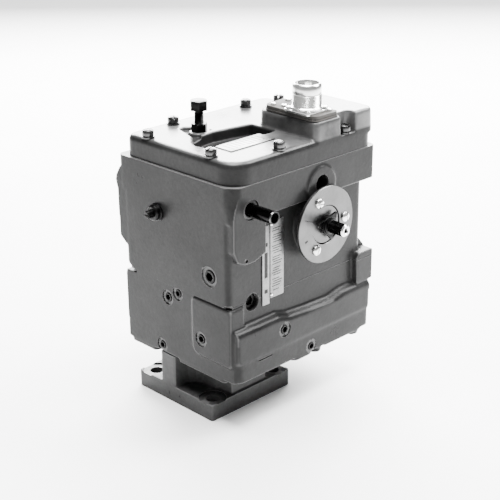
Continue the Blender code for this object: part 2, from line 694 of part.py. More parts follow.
def make_upper_case():
    """The hollow upper casting with its rim, bosses and bores."""
    bm = bmesh.new()
    prism(bm, rounded(UPPER_X[0], UPPER_Y[0], UPPER_X[1], UPPER_Y[1], 7), UPPER_BOTTOM, UPPER_TOP)
    case = piece("upper_case", bm, PAINT)
    bm = bmesh.new()
    prism(bm, rounded(RIM_X[0], RIM_Y[0], RIM_X[1], RIM_Y[1], 12), RIM_Z, UPPER_TOP - 0.001)
    fuse(case, bm)
    bm = bmesh.new()
    prism(bm, [(-60, 156), (-75, 162), (-76, 214), (-77, 226), (-60, 234)], -46, 84, "Y")
    fuse(case, bm)
    bm = bmesh.new()
    foot_y, foot_z = Y_MAX - 0.5, UPPER_BOTTOM + 0.6
    prism(bm, [(120, foot_z), (foot_y, foot_z), (foot_y, 142), (131, 154), (120, 154)], -60, 78, "X")
    fuse(case, bm)
    bm = bmesh.new()
    prism(bm, rounded(-55, 176, -15, 230, 8), 80, 91.3, "X")
    fuse(case, bm)
    bm = bmesh.new()
    rod(bm, 30, 80, DISC_X[0] - GAP, "X", TERMINAL)
    fuse(case, bm)
    bm = bmesh.new()
    rod(bm, 19, 80, 93, "X", (60, 228))
    fuse(case, bm)

    bm = bmesh.new()
    prism(bm, rounded(*CASE_HOLLOW), 120, RIM_Z - 4)
    cut(case, bm)
    bm = bmesh.new()
    prism(bm, rounded(*WELL), 200, 260)
    cut(case, bm)
    bm = bmesh.new()
    block(bm, (-70, -34, 166), (-50, 72, 212))
    cut(case, bm)
    bm = bmesh.new()
    block(bm, (44, -51, 209), (62, -21, 243))
    block(bm, (-44, -12, 224), (-30, 12, 260))
    cut(case, bm)
    bm = bmesh.new()
    rod(bm, BUSH_R + GAP, 60, 100, "X", TERMINAL)
    rod(bm, BUSH_R + GAP, -90, -60, "X", TERMINAL)
    stepped = [(0, 40), (LIMIT_R + GAP, 40), (LIMIT_R + GAP, 87), (10, 87), (10, 95), (0, 95)]
    turned(bm, stepped, "X", LIMIT)
    rod(bm, 9, 84.5, 95, "X", (60, 230), SMALL)
    for centre in disc_screws():
        rod(bm, DISC_SCREW_R, 85, 97, "X", centre, SMALL)
    rod(bm, UPPER_FRONT_PLUG[2] + GAP, -62, -48, "Y", UPPER_FRONT_PLUG[:2], SMALL)
    rod(bm, 5.8, -62, -48, "Y", NEEDLE, SMALL)
    rod(bm, 9.6, 118, 134, "Y", SIGHT_GLASS, ROUND)
    rod(bm, DEEP_PLUG[2], 77, 100, "X", DEEP_PLUG[:2], SMALL)
    cut(case, bm)


def make_gaskets():
    """The gaskets at the case's parting and under the cover."""
    bm = bmesh.new()
    prism(bm, rounded(-66, -54.5, 83, 130, 6), LOWER_TOP + GAP, UPPER_BOTTOM - GAP)
    gasket = piece("case_gasket", bm, GASKET)
    bm = bmesh.new()
    prism(bm, rounded(*CASE_HOLLOW), 120, 140)
    cut(gasket, bm)
    bm = bmesh.new()
    rod(bm, DEEP_PLUG[2], 60, 100, "X", DEEP_PLUG[:2], SMALL)
    cut(gasket, bm)
    bm = bmesh.new()
    prism(bm, rounded(-60, -53, 90, 137, 18), UPPER_TOP + GAP, COVER_BOTTOM - GAP)
    gasket = piece("cover_gasket", bm, GASKET)
    bm = bmesh.new()
    prism(bm, rounded(*WELL), 240, 260)
    cut(gasket, bm)
    bm = bmesh.new()
    block(bm, (-44, -12, 240), (-30, 12, 260))
    cut(gasket, bm)


def trough_outline():
    """The dip in the cover's top, with its near end running round the speed screw."""
    near = [(-1, 6), (-1, -12), (4, -24), (14, -35), (22, -38), (30, -36), (34, -28)]
    return near + [(34, 51), (-1, 51)]


def make_cover():
    """The cast cover with its trough and raised box, and what is fixed to it."""
    bm = bmesh.new()
    prism(bm, rounded(-62, -56, 91, 139, 20, 6), COVER_BOTTOM, COVER_TOP)
    cover = piece("top_cover", bm, PAINT)
    bm = bmesh.new()
    prism(bm, rounded(9, 52, 90.5, 140.5, 11, 5), COVER_TOP - 14, BOX_TOP)
    fuse(cover, bm)
    bm = bmesh.new()
    prism(bm, trough_outline(), TROUGH_FLOOR, COVER_TOP + 5)
    cut(cover, bm)
    bm = bmesh.new()
    prism(bm, rounded(-38, -42, -8, 118, 8), 245, 266)
    cut(cover, bm)
    bm = bmesh.new()
    prism(bm, rounded(15, 58, 74, 122, 6), 245, 284)
    cut(cover, bm)
    bm = bmesh.new()
    prism(bm, rounded(79, 88, 100, 111, 5), GROOVE_FLOOR, 300)
    cut(cover, bm)
    bm = bmesh.new()
    rod(bm, SPEED_SCREW_R + GAP, 255, 280, centre=SPEED_SCREW)
    rod(bm, WIRE_HOLE_R, 280, 295, centre=WIRE_HOLE, sides=SMALL)
    cut(cover, bm)

    bm = bmesh.new()
    prism(bm, rounded(19, 54, 88, 87, 6, 3), BOX_TOP + GAP, PLATE_TOP)
    plate = piece("connector_plate", bm, PAINT)
    bm = bmesh.new()
    rod(bm, WIRE_HOLE_R, 280, 300, centre=WIRE_HOLE, sides=SMALL)
    cut(plate, bm)
    bm = bmesh.new()
    prism(bm, rounded(36, -27, 58, 31, 2, 2), COVER_TOP + GAP, COVER_TOP + 1.1)
    piece("cover_nameplate", bm, PLATE)


def make_connector():
    """The round electrical connector on its square flange."""
    cx, cy = CONNECTOR
    low = PLATE_TOP + GAP
    corners = [(cx + sx * 12.3, cy + sy * 12.3) for sx in (-1, 1) for sy in (-1, 1)]
    bm = bmesh.new()
    prism(bm, rounded(cx - 16, cy - 16, cx + 16, cy + 16, 3, 3), low, low + 3)
    shell = piece("connector_shell", bm, BRIGHT)
    bm = bmesh.new()
    turned(bm, [
        (10.8, low + 2), (14.2, low + 2), (14.2, low + 4.5), (CONNECTOR_R, low + 5),
        (CONNECTOR_R, CONNECTOR_TOP), (10.8, CONNECTOR_TOP),
    ], centre=CONNECTOR)
    fuse(shell, bm)
    bm = bmesh.new()
    for centre in corners:
        rod(bm, 1.9, low - 1, low + 4, centre=centre, sides=SMALL)
    cut(shell, bm)
    bm = bmesh.new()
    rod(bm, 10.5, low + 3.3, 315, centre=CONNECTOR)
    piece("connector_insert", bm, INSERT)


def make_torque_motor():
    """The torque motor that hangs in the cover's raised box."""
    bm = bmesh.new()
    x, z = TORQUE_MOTOR
    arch = [
        (x - 25, 283.7), (x + 25, 283.7), (x + 25, 258), (x + 17, 258), (x + 17, 275.7),
        (x - 17, 275.7), (x - 17, 258), (x - 25, 258),
    ]
    prism(bm, arch, 82, 112, "Y")
    yoke = piece("torque_motor_yoke", bm, DARK_STEEL)
    bm = bmesh.new()
    for y in (82.5, 108.5):
        block(bm, (x - 3, y, z - 6), (x + 3, y + 3, z + 11))
    fuse(yoke, bm)
    bm = bmesh.new()
    rod(bm, PIN_R, 84, 110, "Y", TORQUE_MOTOR, SMALL)
    fuse(yoke, bm)
    bm = bmesh.new()
    block(bm, (x - 15.5, 93, z - 2), (x + 15.5, 101, z + 2))
    armature = piece("torque_armature", bm, STEEL, (x, 97, z))
    bm = bmesh.new()
    rod(bm, PIN_HOLE_R, 80, 114, "Y", TORQUE_MOTOR, SMALL)
    cut(armature, bm)
    for name, low_x in (("torque_motor_coil_left", x - 13.5), ("torque_motor_coil_right", x + 5.5)):
        bm = bmesh.new()
        block(bm, (low_x, 87, 259), (low_x + 8, 107, 273))
        winding = piece(name, bm, COPPER)
        bm = bmesh.new()
        block(bm, (20, 91, 262.3), (70, 103, 269.7))
        cut(winding, bm)


def make_plugs():
    """Pipe plugs, the needle valve, the limit shaft and the sight glass."""
    for name, (u, v, radius), axis, face, inward in (
        ("upper_front_plug", UPPER_FRONT_PLUG, "Y", UPPER_Y[0], 1),
        ("lower_front_plug_1", LOWER_FRONT_PLUGS[0], "Y", LOWER_Y[0], 1),
        ("lower_front_plug_2", LOWER_FRONT_PLUGS[1], "Y", LOWER_Y[0], 1),
        ("lower_front_plug_3", LOWER_FRONT_PLUGS[2], "Y", LOWER_Y[0], 1),
        ("lower_side_plug", LOWER_SIDE_PLUGS[0], "X", LOWER_X[1], -1),
    ):
        bm = bmesh.new()
        rod(bm, radius, *sorted((face + inward * 0.6, face + inward * 7.5)), axis, (u, v), SMALL)
        plug = piece(name, bm, DARK_STEEL)
        bm = bmesh.new()
        socket = circle(radius * 0.62, (u, v), 6)
        prism(bm, socket, *sorted((face - inward, face + inward * 5)), axis)
        cut(plug, bm)

    bm = bmesh.new()
    steps = [(4.4, -50), (5.5, -50), (5.5, -58.6), (9, -58.6), (9, -61.5), (7, -64), (4.4, -64)]
    turned(bm, steps, "Y", NEEDLE, SMALL)
    piece("needle_valve_bushing", bm, STEEL)
    bm = bmesh.new()
    turned(bm, [(0, -44), (4, -50), (4, -71), (3, Y_MIN), (0, Y_MIN)], "Y", NEEDLE, SMALL)
    needle = piece("needle_valve_screw", bm, DARK_STEEL, (NEEDLE[0], 0, NEEDLE[1]))
    bm = bmesh.new()
    x, z = NEEDLE
    block(bm, (x - 6, Y_MIN - 1, z - 0.7), (x + 6, Y_MIN + 2, z + 0.7))
    cut(needle, bm)

    pivot = (0, *LIMIT)
    bm = bmesh.new()
    steps = [(0, 46), (11, 46), (11, 58), (LIMIT_R, 58), (LIMIT_R, LIMIT_END - 1.3)]
    steps += [(LIMIT_R - 1.3, LIMIT_END), (0, LIMIT_END)]
    turned(bm, steps, "X", LIMIT)
    piece("limit_shaft", bm, DARK_STEEL, pivot)

    bm = bmesh.new()
    tube(bm, 9.3, 15, UPPER_Y[1] + GAP, UPPER_Y[1] + 4.5, "Y", SIGHT_GLASS)
    piece("sight_glass_bezel", bm, STEEL)
    bm = bmesh.new()
    rod(bm, 9, UPPER_Y[1] - 5, UPPER_Y[1] + 3, "Y", SIGHT_GLASS)
    piece("sight_glass", bm, GLASS)
    bm = bmesh.new()
    prism(bm, rounded(-14, 122, 15, 206, 1, 2), PANEL_X + GAP, PANEL_X + 1.2, "X")
    piece("side_nameplate", bm, PLATE)


make_base()
make_lower_case()
make_pump()
make_drive()
make_speed_setting()
make_power_cylinder()
make_output()
make_upper_case()
make_gaskets()
make_cover()
make_connector()
make_torque_motor()
make_plugs()
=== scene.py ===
"""Looks of the hydraulic governor actuator: fine castings, fasteners and finishes round the CAD frame.

Sizes are in millimetres in the drive frame, whose origin is where the drive joint's axis meets
the underside of the base: +X towards the output shaft, -Y towards the needle valve, +Z up.
"""

import json
import math

import bmesh
import bpy
from mathutils import Matrix, Vector


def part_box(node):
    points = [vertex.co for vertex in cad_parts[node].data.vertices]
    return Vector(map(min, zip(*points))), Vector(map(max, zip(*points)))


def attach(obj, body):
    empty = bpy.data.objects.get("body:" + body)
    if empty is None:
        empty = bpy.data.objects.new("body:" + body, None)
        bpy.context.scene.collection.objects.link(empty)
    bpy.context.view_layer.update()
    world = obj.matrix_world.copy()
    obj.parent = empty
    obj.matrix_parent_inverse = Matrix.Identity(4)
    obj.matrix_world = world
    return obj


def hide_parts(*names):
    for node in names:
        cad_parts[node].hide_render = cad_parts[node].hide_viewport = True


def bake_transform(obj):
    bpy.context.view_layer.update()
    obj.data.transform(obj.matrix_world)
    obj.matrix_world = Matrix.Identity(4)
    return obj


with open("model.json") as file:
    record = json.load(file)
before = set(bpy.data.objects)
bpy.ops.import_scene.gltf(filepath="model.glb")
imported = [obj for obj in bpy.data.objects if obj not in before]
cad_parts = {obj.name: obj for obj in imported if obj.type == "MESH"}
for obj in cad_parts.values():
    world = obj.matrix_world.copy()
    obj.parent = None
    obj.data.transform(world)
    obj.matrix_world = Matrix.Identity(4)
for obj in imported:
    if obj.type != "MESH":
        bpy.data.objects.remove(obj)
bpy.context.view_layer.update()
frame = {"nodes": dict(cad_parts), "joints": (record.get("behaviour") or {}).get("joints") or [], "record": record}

MM = 0.001
JOINTS = {joint["name"]: joint for joint in frame["joints"]}


def joint_point(name):
    """A joint's position in the row frame, in metres."""
    return Vector(JOINTS[name]["pos_m"])


ORIGIN = joint_point("drive_turn")


def drive_frame(point):
    """A row-frame point in millimetres in the drive frame."""
    return (Vector(point) - ORIGIN) / MM


def node_box(name):
    """A CAD node's lowest and highest corner, in millimetres in the drive frame."""
    low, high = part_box(name)
    return drive_frame(low), drive_frame(high)


# Sizes that come from the frame
FLANGE_HALF = node_box("base_flange")[1].x
LOWER_HIGH = node_box("lower_case")[1]
UPPER_HIGH = node_box("upper_case")[1]
DISC_LOW, DISC_HIGH = node_box("scale_disc")
SHELL_LOW, SHELL_HIGH = node_box("connector_shell")
TERMINAL = drive_frame(joint_point("output_turn"))
LIMIT = drive_frame(joint_point("limit_shaft_turn"))
NEEDLE = drive_frame(joint_point("needle_valve_turn"))
SPEED = drive_frame(joint_point("speed_screw_turn"))
IDLER = tuple(drive_frame(joint_point("idler_turn")))[:2]
TERMINAL_END = node_box("terminal_shaft")[1].x
LIMIT_END = node_box("limit_shaft")[1].x
NEEDLE_END = node_box("needle_valve_screw")[0].y
SPEED_TOP = node_box("speed_screw")[1].z
PLATE_TOP = node_box("connector_plate")[1].z
SIDE_PLATE_LOW, SIDE_PLATE_HIGH = node_box("side_nameplate")
TOP_PLATE_LOW, TOP_PLATE_HIGH = node_box("cover_nameplate")

# Levels and planes of the castings
FLANGE_HEIGHT = 18.0
NECK_TOP = 51.9
CASE_BOTTOM = 52.1
PARTING = 132.0
PANEL_X = 84.0
RIM_Z = 217.0
UPPER_TOP = 251.4
COVER_BOTTOM = 251.7
COVER_TOP = 273.6
BOX_TOP = 290.8
FRONT_Y = -58.3
LOWER_FRONT_Y = -55.5
TROUGH_FLOOR = 262.0
SHALLOW_FLOOR = 270.0
GROOVE_FLOOR = 271.0
SPEED_BOSS_R = 10.5
BOLT_HALF = 42.85
PAD_EDGE_X = 31.0
Y_PAD_END = 142.0

# Y and Z of the boss round the limit shaft at the front corner
LIMIT_BOSS = (
    (-44, 256), (-50, 243), (-55.5, 231), (-57.3, 222), (-57.3, 190), (-52, 179), (-42, 174.5),
    (-30, 174.5),
    (-15, 180), (-15, 256),
)

# Machined holes, and the width of the faced ring round a plug
BOLT_HOLE_R = 6.75
BOLT_SEAT_R = 14
BOLT_SEAT_Z = 16.6
DRIVE_BORE_R = 10.4
IDLER_PIN_BORE_R = 5.4
ACCUMULATOR_BORE_R = 16.1
POWER_BORE_R = 22.1
GEAR_POCKET_R = 19.8
PUMP_COVER_POCKET_R = 24.6
OUTPUT_BORE_R = 12.4
COVER_SCREW_HOLE_R = 3.4
WIRE_HOLE = (64, 66)
WIRE_HOLE_R = 8
SPOT_WIDTH = 3.0

# Plugs: their two places across their axis and their radius, and the lower case's axis and wall
DEEP_PLUG = (-27, 130.4, 9.0)
UPPER_PLUG = (58, 158, 7.0)
LOWER_PLUG_SEATS = (
    ((9, 124.5, 4.5), "Y", LOWER_FRONT_Y),
    ((-6, 116, 5.0), "Y", LOWER_FRONT_Y),
    ((44, 88, 5.0), "Y", FRONT_Y + 0.4),
    ((-17, 60, 4.5), "Y", LOWER_FRONT_Y),
    ((9, 92, 5.0), "X", LOWER_HIGH.x - 0.3),
    ((48, 60, 4.5), "X", LOWER_HIGH.x - 0.3),
)

# Cover screws: X, Y and the height of the seat
COVER_SCREWS = (
    (-33, -50, COVER_TOP), (54, -49, COVER_TOP), (-50, -3, COVER_TOP), (-45, 93, COVER_TOP),
    (83, 10, COVER_TOP), (-33, 130, COVER_TOP), (85.5, 99.5, GROOVE_FLOOR),
)

# Output dial, with angles in degrees
POINTER_ANGLE = 164.5
DISC_SCREW_RADIUS = 26.8
DISC_SCREW_ANGLES = (3, 114, 238)
DISC_R = DISC_HIGH.y - TERMINAL.y
# Marks cut into the disc's face: name, angle, inner and outer radius, half width
SCALE_MARKS = (("stop_line", 158.5, 20.5, 33.0, 0.3), ("stop_mark_2", 200, 28.2, 32.2, 1.1))

# Connector pins and studio
PIN_COUNT = 7
PIN_CIRCLE_R = 6.6
FLOOR_HALF = 14000
SURROUND_STRENGTH = 0.5
# Lights: name, place and target in metres, size in metres, watts
LIGHTS = (
    ("overhead", (0, 0, 2.6), (0, 0.001, 0), (1.6, 1.6), 340),
    ("back_softbox", (-1.2, 1.18, 1.0), (0, 0, 0.27), (2.0, 0.9), 330),
    ("rear_right_softbox", (0.6, 1.2, 1.6), (0, 0, 0.15), (0.9, 0.9), 110),
)

CAST_VOXEL = 0.85
CAST_SMOOTH = 9

AXES = {
    "X": Matrix(((0, 0, 1), (1, 0, 0), (0, 1, 0))),
    "Y": Matrix(((1, 0, 0), (0, 0, 1), (0, 1, 0))),
    "Z": Matrix.Identity(3),
}


# Outlines

def circle(radius, centre=(0, 0), sides=48, turn=0.0):
    """A regular polygon's outline."""
    angles = [turn + 2 * math.pi * i / sides for i in range(sides)]
    return [(centre[0] + radius * math.cos(a), centre[1] + radius * math.sin(a)) for a in angles]


def rounded(u_low, v_low, u_high, v_high, radius, steps=8):
    """A rectangle with round corners; radius may be one number or four, from the high-high corner
    anticlockwise."""
    radii = radius if isinstance(radius, tuple) else (radius,) * 4
    corners = (
        (u_high - radii[0], v_high - radii[0], radii[0], 0),
        (u_low + radii[1], v_high - radii[1], radii[1], 90),
        (u_low + radii[2], v_low + radii[2], radii[2], 180),
        (u_high - radii[3], v_low + radii[3], radii[3], 270),
    )
    points = []
    for cu, cv, r, start in corners:
        for i in range(steps + 1):
            a = math.radians(start + 90 * i / steps)
            points.append((cu + r * math.cos(a), cv + r * math.sin(a)))
    return points


# Solids, added to a bmesh in millimetres

def loft(bm, levels, axis="Z"):
    """Add a closed body through outlines with as many points each: levels is (outline, height)."""
    turn = AXES[axis]
    rings = []
    for outline, height in levels:
        rings.append([bm.verts.new(turn @ Vector((u, v, height))) for u, v in outline])
    bm.faces.new(rings[0])
    bm.faces.new(rings[-1])
    count = len(rings[0])
    for first, second in zip(rings, rings[1:]):
        for i in range(count):
            j = (i + 1) % count
            bm.faces.new((first[i], first[j], second[j], second[i]))


def prism(bm, outline, low, high, axis="Z"):
    """Add an outline swept straight along an axis."""
    loft(bm, [(outline, low), (outline, high)], axis)


def block(bm, low, high):
    """Add a box."""
    prism(bm, [(low[0], low[1]), (high[0], low[1]), (high[0], high[1]), (low[0], high[1])], low[2], high[2])


def turned(bm, profile, axis="Z", centre=(0, 0), sides=48):
    """Add a turned body from (radius, height) points, closed into a ring if its ends are off the
    axis."""
    turn = AXES[axis]
    rings = []
    for radius, height in profile:
        if radius == 0:
            rings.append([bm.verts.new(turn @ Vector((centre[0], centre[1], height)))])
        else:
            ring = circle(radius, centre, sides)
            rings.append([bm.verts.new(turn @ Vector((u, v, height))) for u, v in ring])
    pairs = list(zip(rings, rings[1:]))
    if profile[0][0] > 0:
        pairs.append((rings[-1], rings[0]))
    for first, second in pairs:
        for i in range(sides):
            j = (i + 1) % sides
            if len(first) == 1:
                bm.faces.new((first[0], second[i], second[j]))
            elif len(second) == 1:
                bm.faces.new((first[i], first[j], second[0]))
            else:
                bm.faces.new((first[i], first[j], second[j], second[i]))


def rod(bm, radius, low, high, axis="Z", centre=(0, 0), sides=48):
    """Add a plain round bar."""
    turned(bm, [(0, low), (radius, low), (radius, high), (0, high)], axis, centre, sides)


def tube(bm, inner, outer, low, high, axis="Z", centre=(0, 0), sides=48):
    """Add a ring or sleeve."""
    turned(bm, [(inner, low), (outer, low), (outer, high), (inner, high)], axis, centre, sides)


def solid(add, *values, **options):
    """A new bmesh that holds one solid, made by one of the functions above."""
    bm = bmesh.new()
    add(bm, *values, **options)
    return bm


def slab(low, high):
    """A cutter wider than the object, between two heights."""
    return solid(block, (-120, -120, low), (140, 200, high))


def turned_block(low, high, angle, axis, place):
    """A box turned about an axis through the origin, and then moved to its place."""
    bm = solid(block, low, high)
    bmesh.ops.rotate(bm, verts=bm.verts, cent=(0, 0, 0), matrix=Matrix.Rotation(angle, 3, axis))
    bmesh.ops.translate(bm, verts=bm.verts, vec=place)
    return bm


# Objects

def raw_object(name, bm):
    """An object from a bmesh in millimetres in the drive frame."""
    bmesh.ops.recalc_face_normals(bm, faces=bm.faces)
    bmesh.ops.scale(bm, verts=bm.verts, vec=(MM, MM, MM))
    bmesh.ops.translate(bm, verts=bm.verts, vec=ORIGIN)
    mesh = bpy.data.meshes.new(name)
    bm.to_mesh(mesh)
    bm.free()
    made = bpy.data.objects.new(name, mesh)
    bpy.context.scene.collection.objects.link(made)
    return made


def bake_modifiers(made):
    """Apply every modifier and leave the plain mesh."""
    bpy.context.view_layer.update()
    depsgraph = bpy.context.evaluated_depsgraph_get()
    mesh = bpy.data.meshes.new_from_object(made.evaluated_get(depsgraph))
    old = made.data
    made.modifiers.clear()
    made.data = mesh
    bpy.data.meshes.remove(old)


def carve(made, cutters):
    """Cut solids out of an object, one after the other."""
    helpers = []
    for bm in cutters:
        helper = raw_object(f"{made.name}_cutter", bm)
        step = made.modifiers.new("cut", "BOOLEAN")
        step.operation = "DIFFERENCE"
        step.solver = "MANIFOLD"
        step.object = helper
        helpers.append(helper)
    bake_modifiers(made)
    for helper in helpers:
        mesh = helper.data
        bpy.data.objects.remove(helper)
        bpy.data.meshes.remove(mesh)


def dress(made, finish, body, angle=32, replaced=()):
    """Shade a piece, give it its material and fix it to a body."""
    made.data.materials.clear()
    made.data.materials.append(finish)
    made.data.shade_smooth()
    made.data.set_sharp_from_angle(angle=math.radians(angle))
    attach(made, body)
    if replaced:
        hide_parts(*replaced)
    return made


def piece(name, bm, finish, body="root", replaced=(), bevel=0.0, cuts=()):
    """A machined piece: a crisp solid, cut and then given small edge bevels."""
    made = raw_object(name, bm)
    if cuts:
        carve(made, cuts)
    if bevel:
        edges = made.modifiers.new("edges", "BEVEL")
        edges.width = bevel * MM
        edges.segments = 2
        edges.limit_method = "ANGLE"
        edges.angle_limit = math.radians(30)
        edges.harden_normals = False
        bake_modifiers(made)
    return dress(made, finish, body, replaced=replaced)


def casting(name, solids, soft_cuts, crisp_cuts, finish, replaced=()):
    """A sand casting: joined, cut, rounded over all its edges, and then machined crisp."""
    made = raw_object(name, solids)
    skin = made.modifiers.new("join", "REMESH")
    skin.mode = "VOXEL"
    skin.voxel_size = CAST_VOXEL * MM
    bake_modifiers(made)
    if soft_cuts:
        carve(made, soft_cuts)
        skin = made.modifiers.new("skin", "REMESH")
        skin.mode = "VOXEL"
        skin.voxel_size = CAST_VOXEL * MM
    soften = made.modifiers.new("soften", "SMOOTH")
    soften.factor = 0.5
    soften.iterations = CAST_SMOOTH
    bake_modifiers(made)
    if crisp_cuts:
        carve(made, crisp_cuts)
    return dress(made, finish, "root", angle=40, replaced=replaced)


# Materials

def grey(level):
    """A neutral colour."""
    return level, level, level


def set_sockets(node, **values):
    """Give a node's sockets plain values."""
    for socket, value in values.items():
        node.inputs[socket.replace("_", " ")].default_value = value


def new_material(name, colour, roughness, metallic=0.0, **sockets):
    """A Principled material and its node tree."""
    made = bpy.data.materials.new(name)
    made.use_nodes = True
    shader = made.node_tree.nodes["Principled BSDF"]
    set_sockets(shader, Base_Color=(*colour, 1), Roughness=roughness, Metallic=metallic, **sockets)
    return made, made.node_tree, shader


def object_coordinates(tree, scale=(1, 1, 1)):
    """Object coordinates through a mapping."""
    source = tree.nodes.new("ShaderNodeTexCoord")
    mapping = tree.nodes.new("ShaderNodeMapping")
    mapping.inputs["Scale"].default_value = scale
    tree.links.new(source.outputs["Object"], mapping.inputs["Vector"])
    return mapping.outputs["Vector"]


def noise(tree, vector, scale, detail=4.0, roughness=0.55):
    """A noise texture's factor."""
    node = tree.nodes.new("ShaderNodeTexNoise")
    set_sockets(node, Scale=scale, Detail=detail, Roughness=roughness)
    tree.links.new(vector, node.inputs["Vector"])
    return node.outputs["Fac"]


def ramp(tree, factor, stops):
    """A colour ramp over (position, colour) stops."""
    node = tree.nodes.new("ShaderNodeValToRGB")
    elements = node.color_ramp.elements
    while len(elements) < len(stops):
        elements.new(0.5)
    for element, (position, colour) in zip(elements, stops):
        element.position = position
        element.color = (*colour, 1)
    tree.links.new(factor, node.inputs["Fac"])
    return node.outputs["Color"]


def spread(tree, factor, low, high, from_low=0.3, from_high=0.7):
    """A factor mapped to another range."""
    node = tree.nodes.new("ShaderNodeMapRange")
    set_sockets(node, From_Min=from_low, From_Max=from_high, To_Min=low, To_Max=high)
    tree.links.new(factor, node.inputs["Value"])
    return node.outputs["Result"]


def mixed(tree, factor, first, second, blend="MIX"):
    """Two colours mixed. A colour may be a socket or a plain value."""
    node = tree.nodes.new("ShaderNodeMix")
    node.data_type = "RGBA"
    node.blend_type = blend
    for socket, value in ((node.inputs[0], factor), (node.inputs[6], first), (node.inputs[7], second)):
        if isinstance(value, bpy.types.NodeSocket):
            tree.links.new(value, socket)
        elif isinstance(value, tuple):
            socket.default_value = (*value, 1)
        else:
            socket.default_value = value
    return node.outputs[2]


def bump(tree, shader, height, distance, strength=1.0, below=None):
    """A bump from a height, stacked on another if one is given."""
    node = tree.nodes.new("ShaderNodeBump")
    set_sockets(node, Distance=distance, Strength=strength)
    tree.links.new(height, node.inputs["Height"])
    if below is not None:
        tree.links.new(below, node.inputs["Normal"])
    tree.links.new(node.outputs["Normal"], shader.inputs["Normal"])
    return node.outputs["Normal"]


def cast_paint(name, gloss, light=1.0, painted_sheen_from=None):
    """Grey paint over sand-cast aluminium: orange peel and cast grain, convex edges lightened as a painted
    highlight and corners darkened as painted shade. A light factor above 1 lightens the colour, painted in against
    shade.
    Above the given height, in millimetres, the colour is lightened in blotches as a painted sheen and the specular
    level is raised."""
    made, tree, shader = new_material(name, grey(0.03), 0.34, Specular_IOR_Level=gloss)
    where = object_coordinates(tree)
    broad = noise(tree, where, 14, 5, 0.6)
    fine = noise(tree, where, 260, 4, 0.6)
    grain = noise(tree, where, 900, 2, 0.5)
    # the light factor scales the colour; for the base it lightens the paint as painted light against the shade it
    # stands in
    colour = ramp(tree, broad, ((0.35, (0.008 * light,) * 3), (0.65, (0.018 * light,) * 3)))
    speckle = ramp(tree, fine, ((0.3, grey(0.7)), (0.62, (1, 1, 1))))
    colour = mixed(tree, 0.7, colour, speckle, "MULTIPLY")
    shape = tree.nodes.new("ShaderNodeNewGeometry")
    # painted highlight: convex edges lightened in colour
    painted_edge_highlight = spread(tree, shape.outputs["Pointiness"], 0.0, 1.0, 0.512, 0.55)
    colour = mixed(tree, painted_edge_highlight, colour, grey(0.08))
    # painted shade: hollows and corners darkened in colour
    painted_corner_shade = spread(tree, shape.outputs["Pointiness"], 0.6, 0.0, 0.44, 0.492)
    colour = mixed(tree, painted_corner_shade, colour, grey(0.003))
    # painted sheen: above the given height the colour is lightened in blotches, and the specular level raised
    if painted_sheen_from is not None:
        split = tree.nodes.new("ShaderNodeSeparateXYZ")
        tree.links.new(where, split.inputs["Vector"])
        top = spread(tree, split.outputs["Z"], 0.0, 1.0, painted_sheen_from * MM, (painted_sheen_from + 2.4) * MM)
        blotch = mixed(tree, top, (0, 0, 0), ramp(tree, broad, ((0.34, grey(0.12)), (0.6, (1, 1, 1)))))
        tree.links.new(spread(tree, blotch, gloss, 0.5, 0, 1), shader.inputs["Specular IOR Level"])
        colour = mixed(tree, blotch, colour, grey(0.07))
    tree.links.new(colour, shader.inputs["Base Color"])
    tree.links.new(spread(tree, broad, 0.26, 0.4), shader.inputs["Roughness"])
    first = bump(tree, shader, broad, 0.0012, 0.25)
    second = bump(tree, shader, fine, 0.00035, 0.45, first)
    bump(tree, shader, grain, 0.0001, 0.3, second)
    return made


def metal(name, dark, bright, roughness, scale=220, stretch=(1, 1, 1), relief=0.00004, metallic=1.0):
    """A metal with a fine mottled or brushed surface."""
    made, tree, shader = new_material(name, bright, roughness, metallic)
    where = object_coordinates(tree, stretch)
    fine = noise(tree, where, scale, 5, 0.6)
    broad = noise(tree, object_coordinates(tree), 45, 3, 0.5)
    blend = mixed(
        tree, 0.5, ramp(tree, fine, ((0.3, dark), (0.7, bright))),
        ramp(tree, broad, ((0.3, dark), (0.7, bright)))
    )
    tree.links.new(blend, shader.inputs["Base Color"])
    tree.links.new(
        spread(tree, fine, roughness * 0.8, min(1.0, roughness * 1.3)), shader.inputs["Roughness"]
    )
    bump(tree, shader, fine, relief, 0.6)
    return made


def radial_brushed(name, centre, dark, bright, roughness):
    """A faced metal disc: fine rings round its centre, about the X axis."""
    made, tree, shader = new_material(name, bright, roughness, 1.0)
    source = tree.nodes.new("ShaderNodeTexCoord")
    mapping = tree.nodes.new("ShaderNodeMapping")
    place = ORIGIN + Vector(centre) * MM
    mapping.vector_type = "POINT"
    mapping.inputs["Location"].default_value = -place
    tree.links.new(source.outputs["Object"], mapping.inputs["Vector"])
    rings = tree.nodes.new("ShaderNodeTexWave")
    rings.wave_type = "RINGS"
    rings.rings_direction = "X"
    set_sockets(rings, Scale=420, Distortion=1.5, Detail=3)
    tree.links.new(mapping.outputs["Vector"], rings.inputs["Vector"])
    blotch = noise(tree, mapping.outputs["Vector"], 60, 4, 0.6)
    colour = mixed(
        tree, 0.35, ramp(tree, blotch, ((0.3, dark), (0.7, bright))),
        ramp(tree, rings.outputs["Fac"], ((0.2, dark), (0.8, bright)))
    )
    tree.links.new(colour, shader.inputs["Base Color"])
    tree.links.new(spread(tree, blotch, roughness * 0.85, roughness * 1.2), shader.inputs["Roughness"])
    bump(tree, shader, rings.outputs["Fac"], 0.00003, 0.5)
    return made


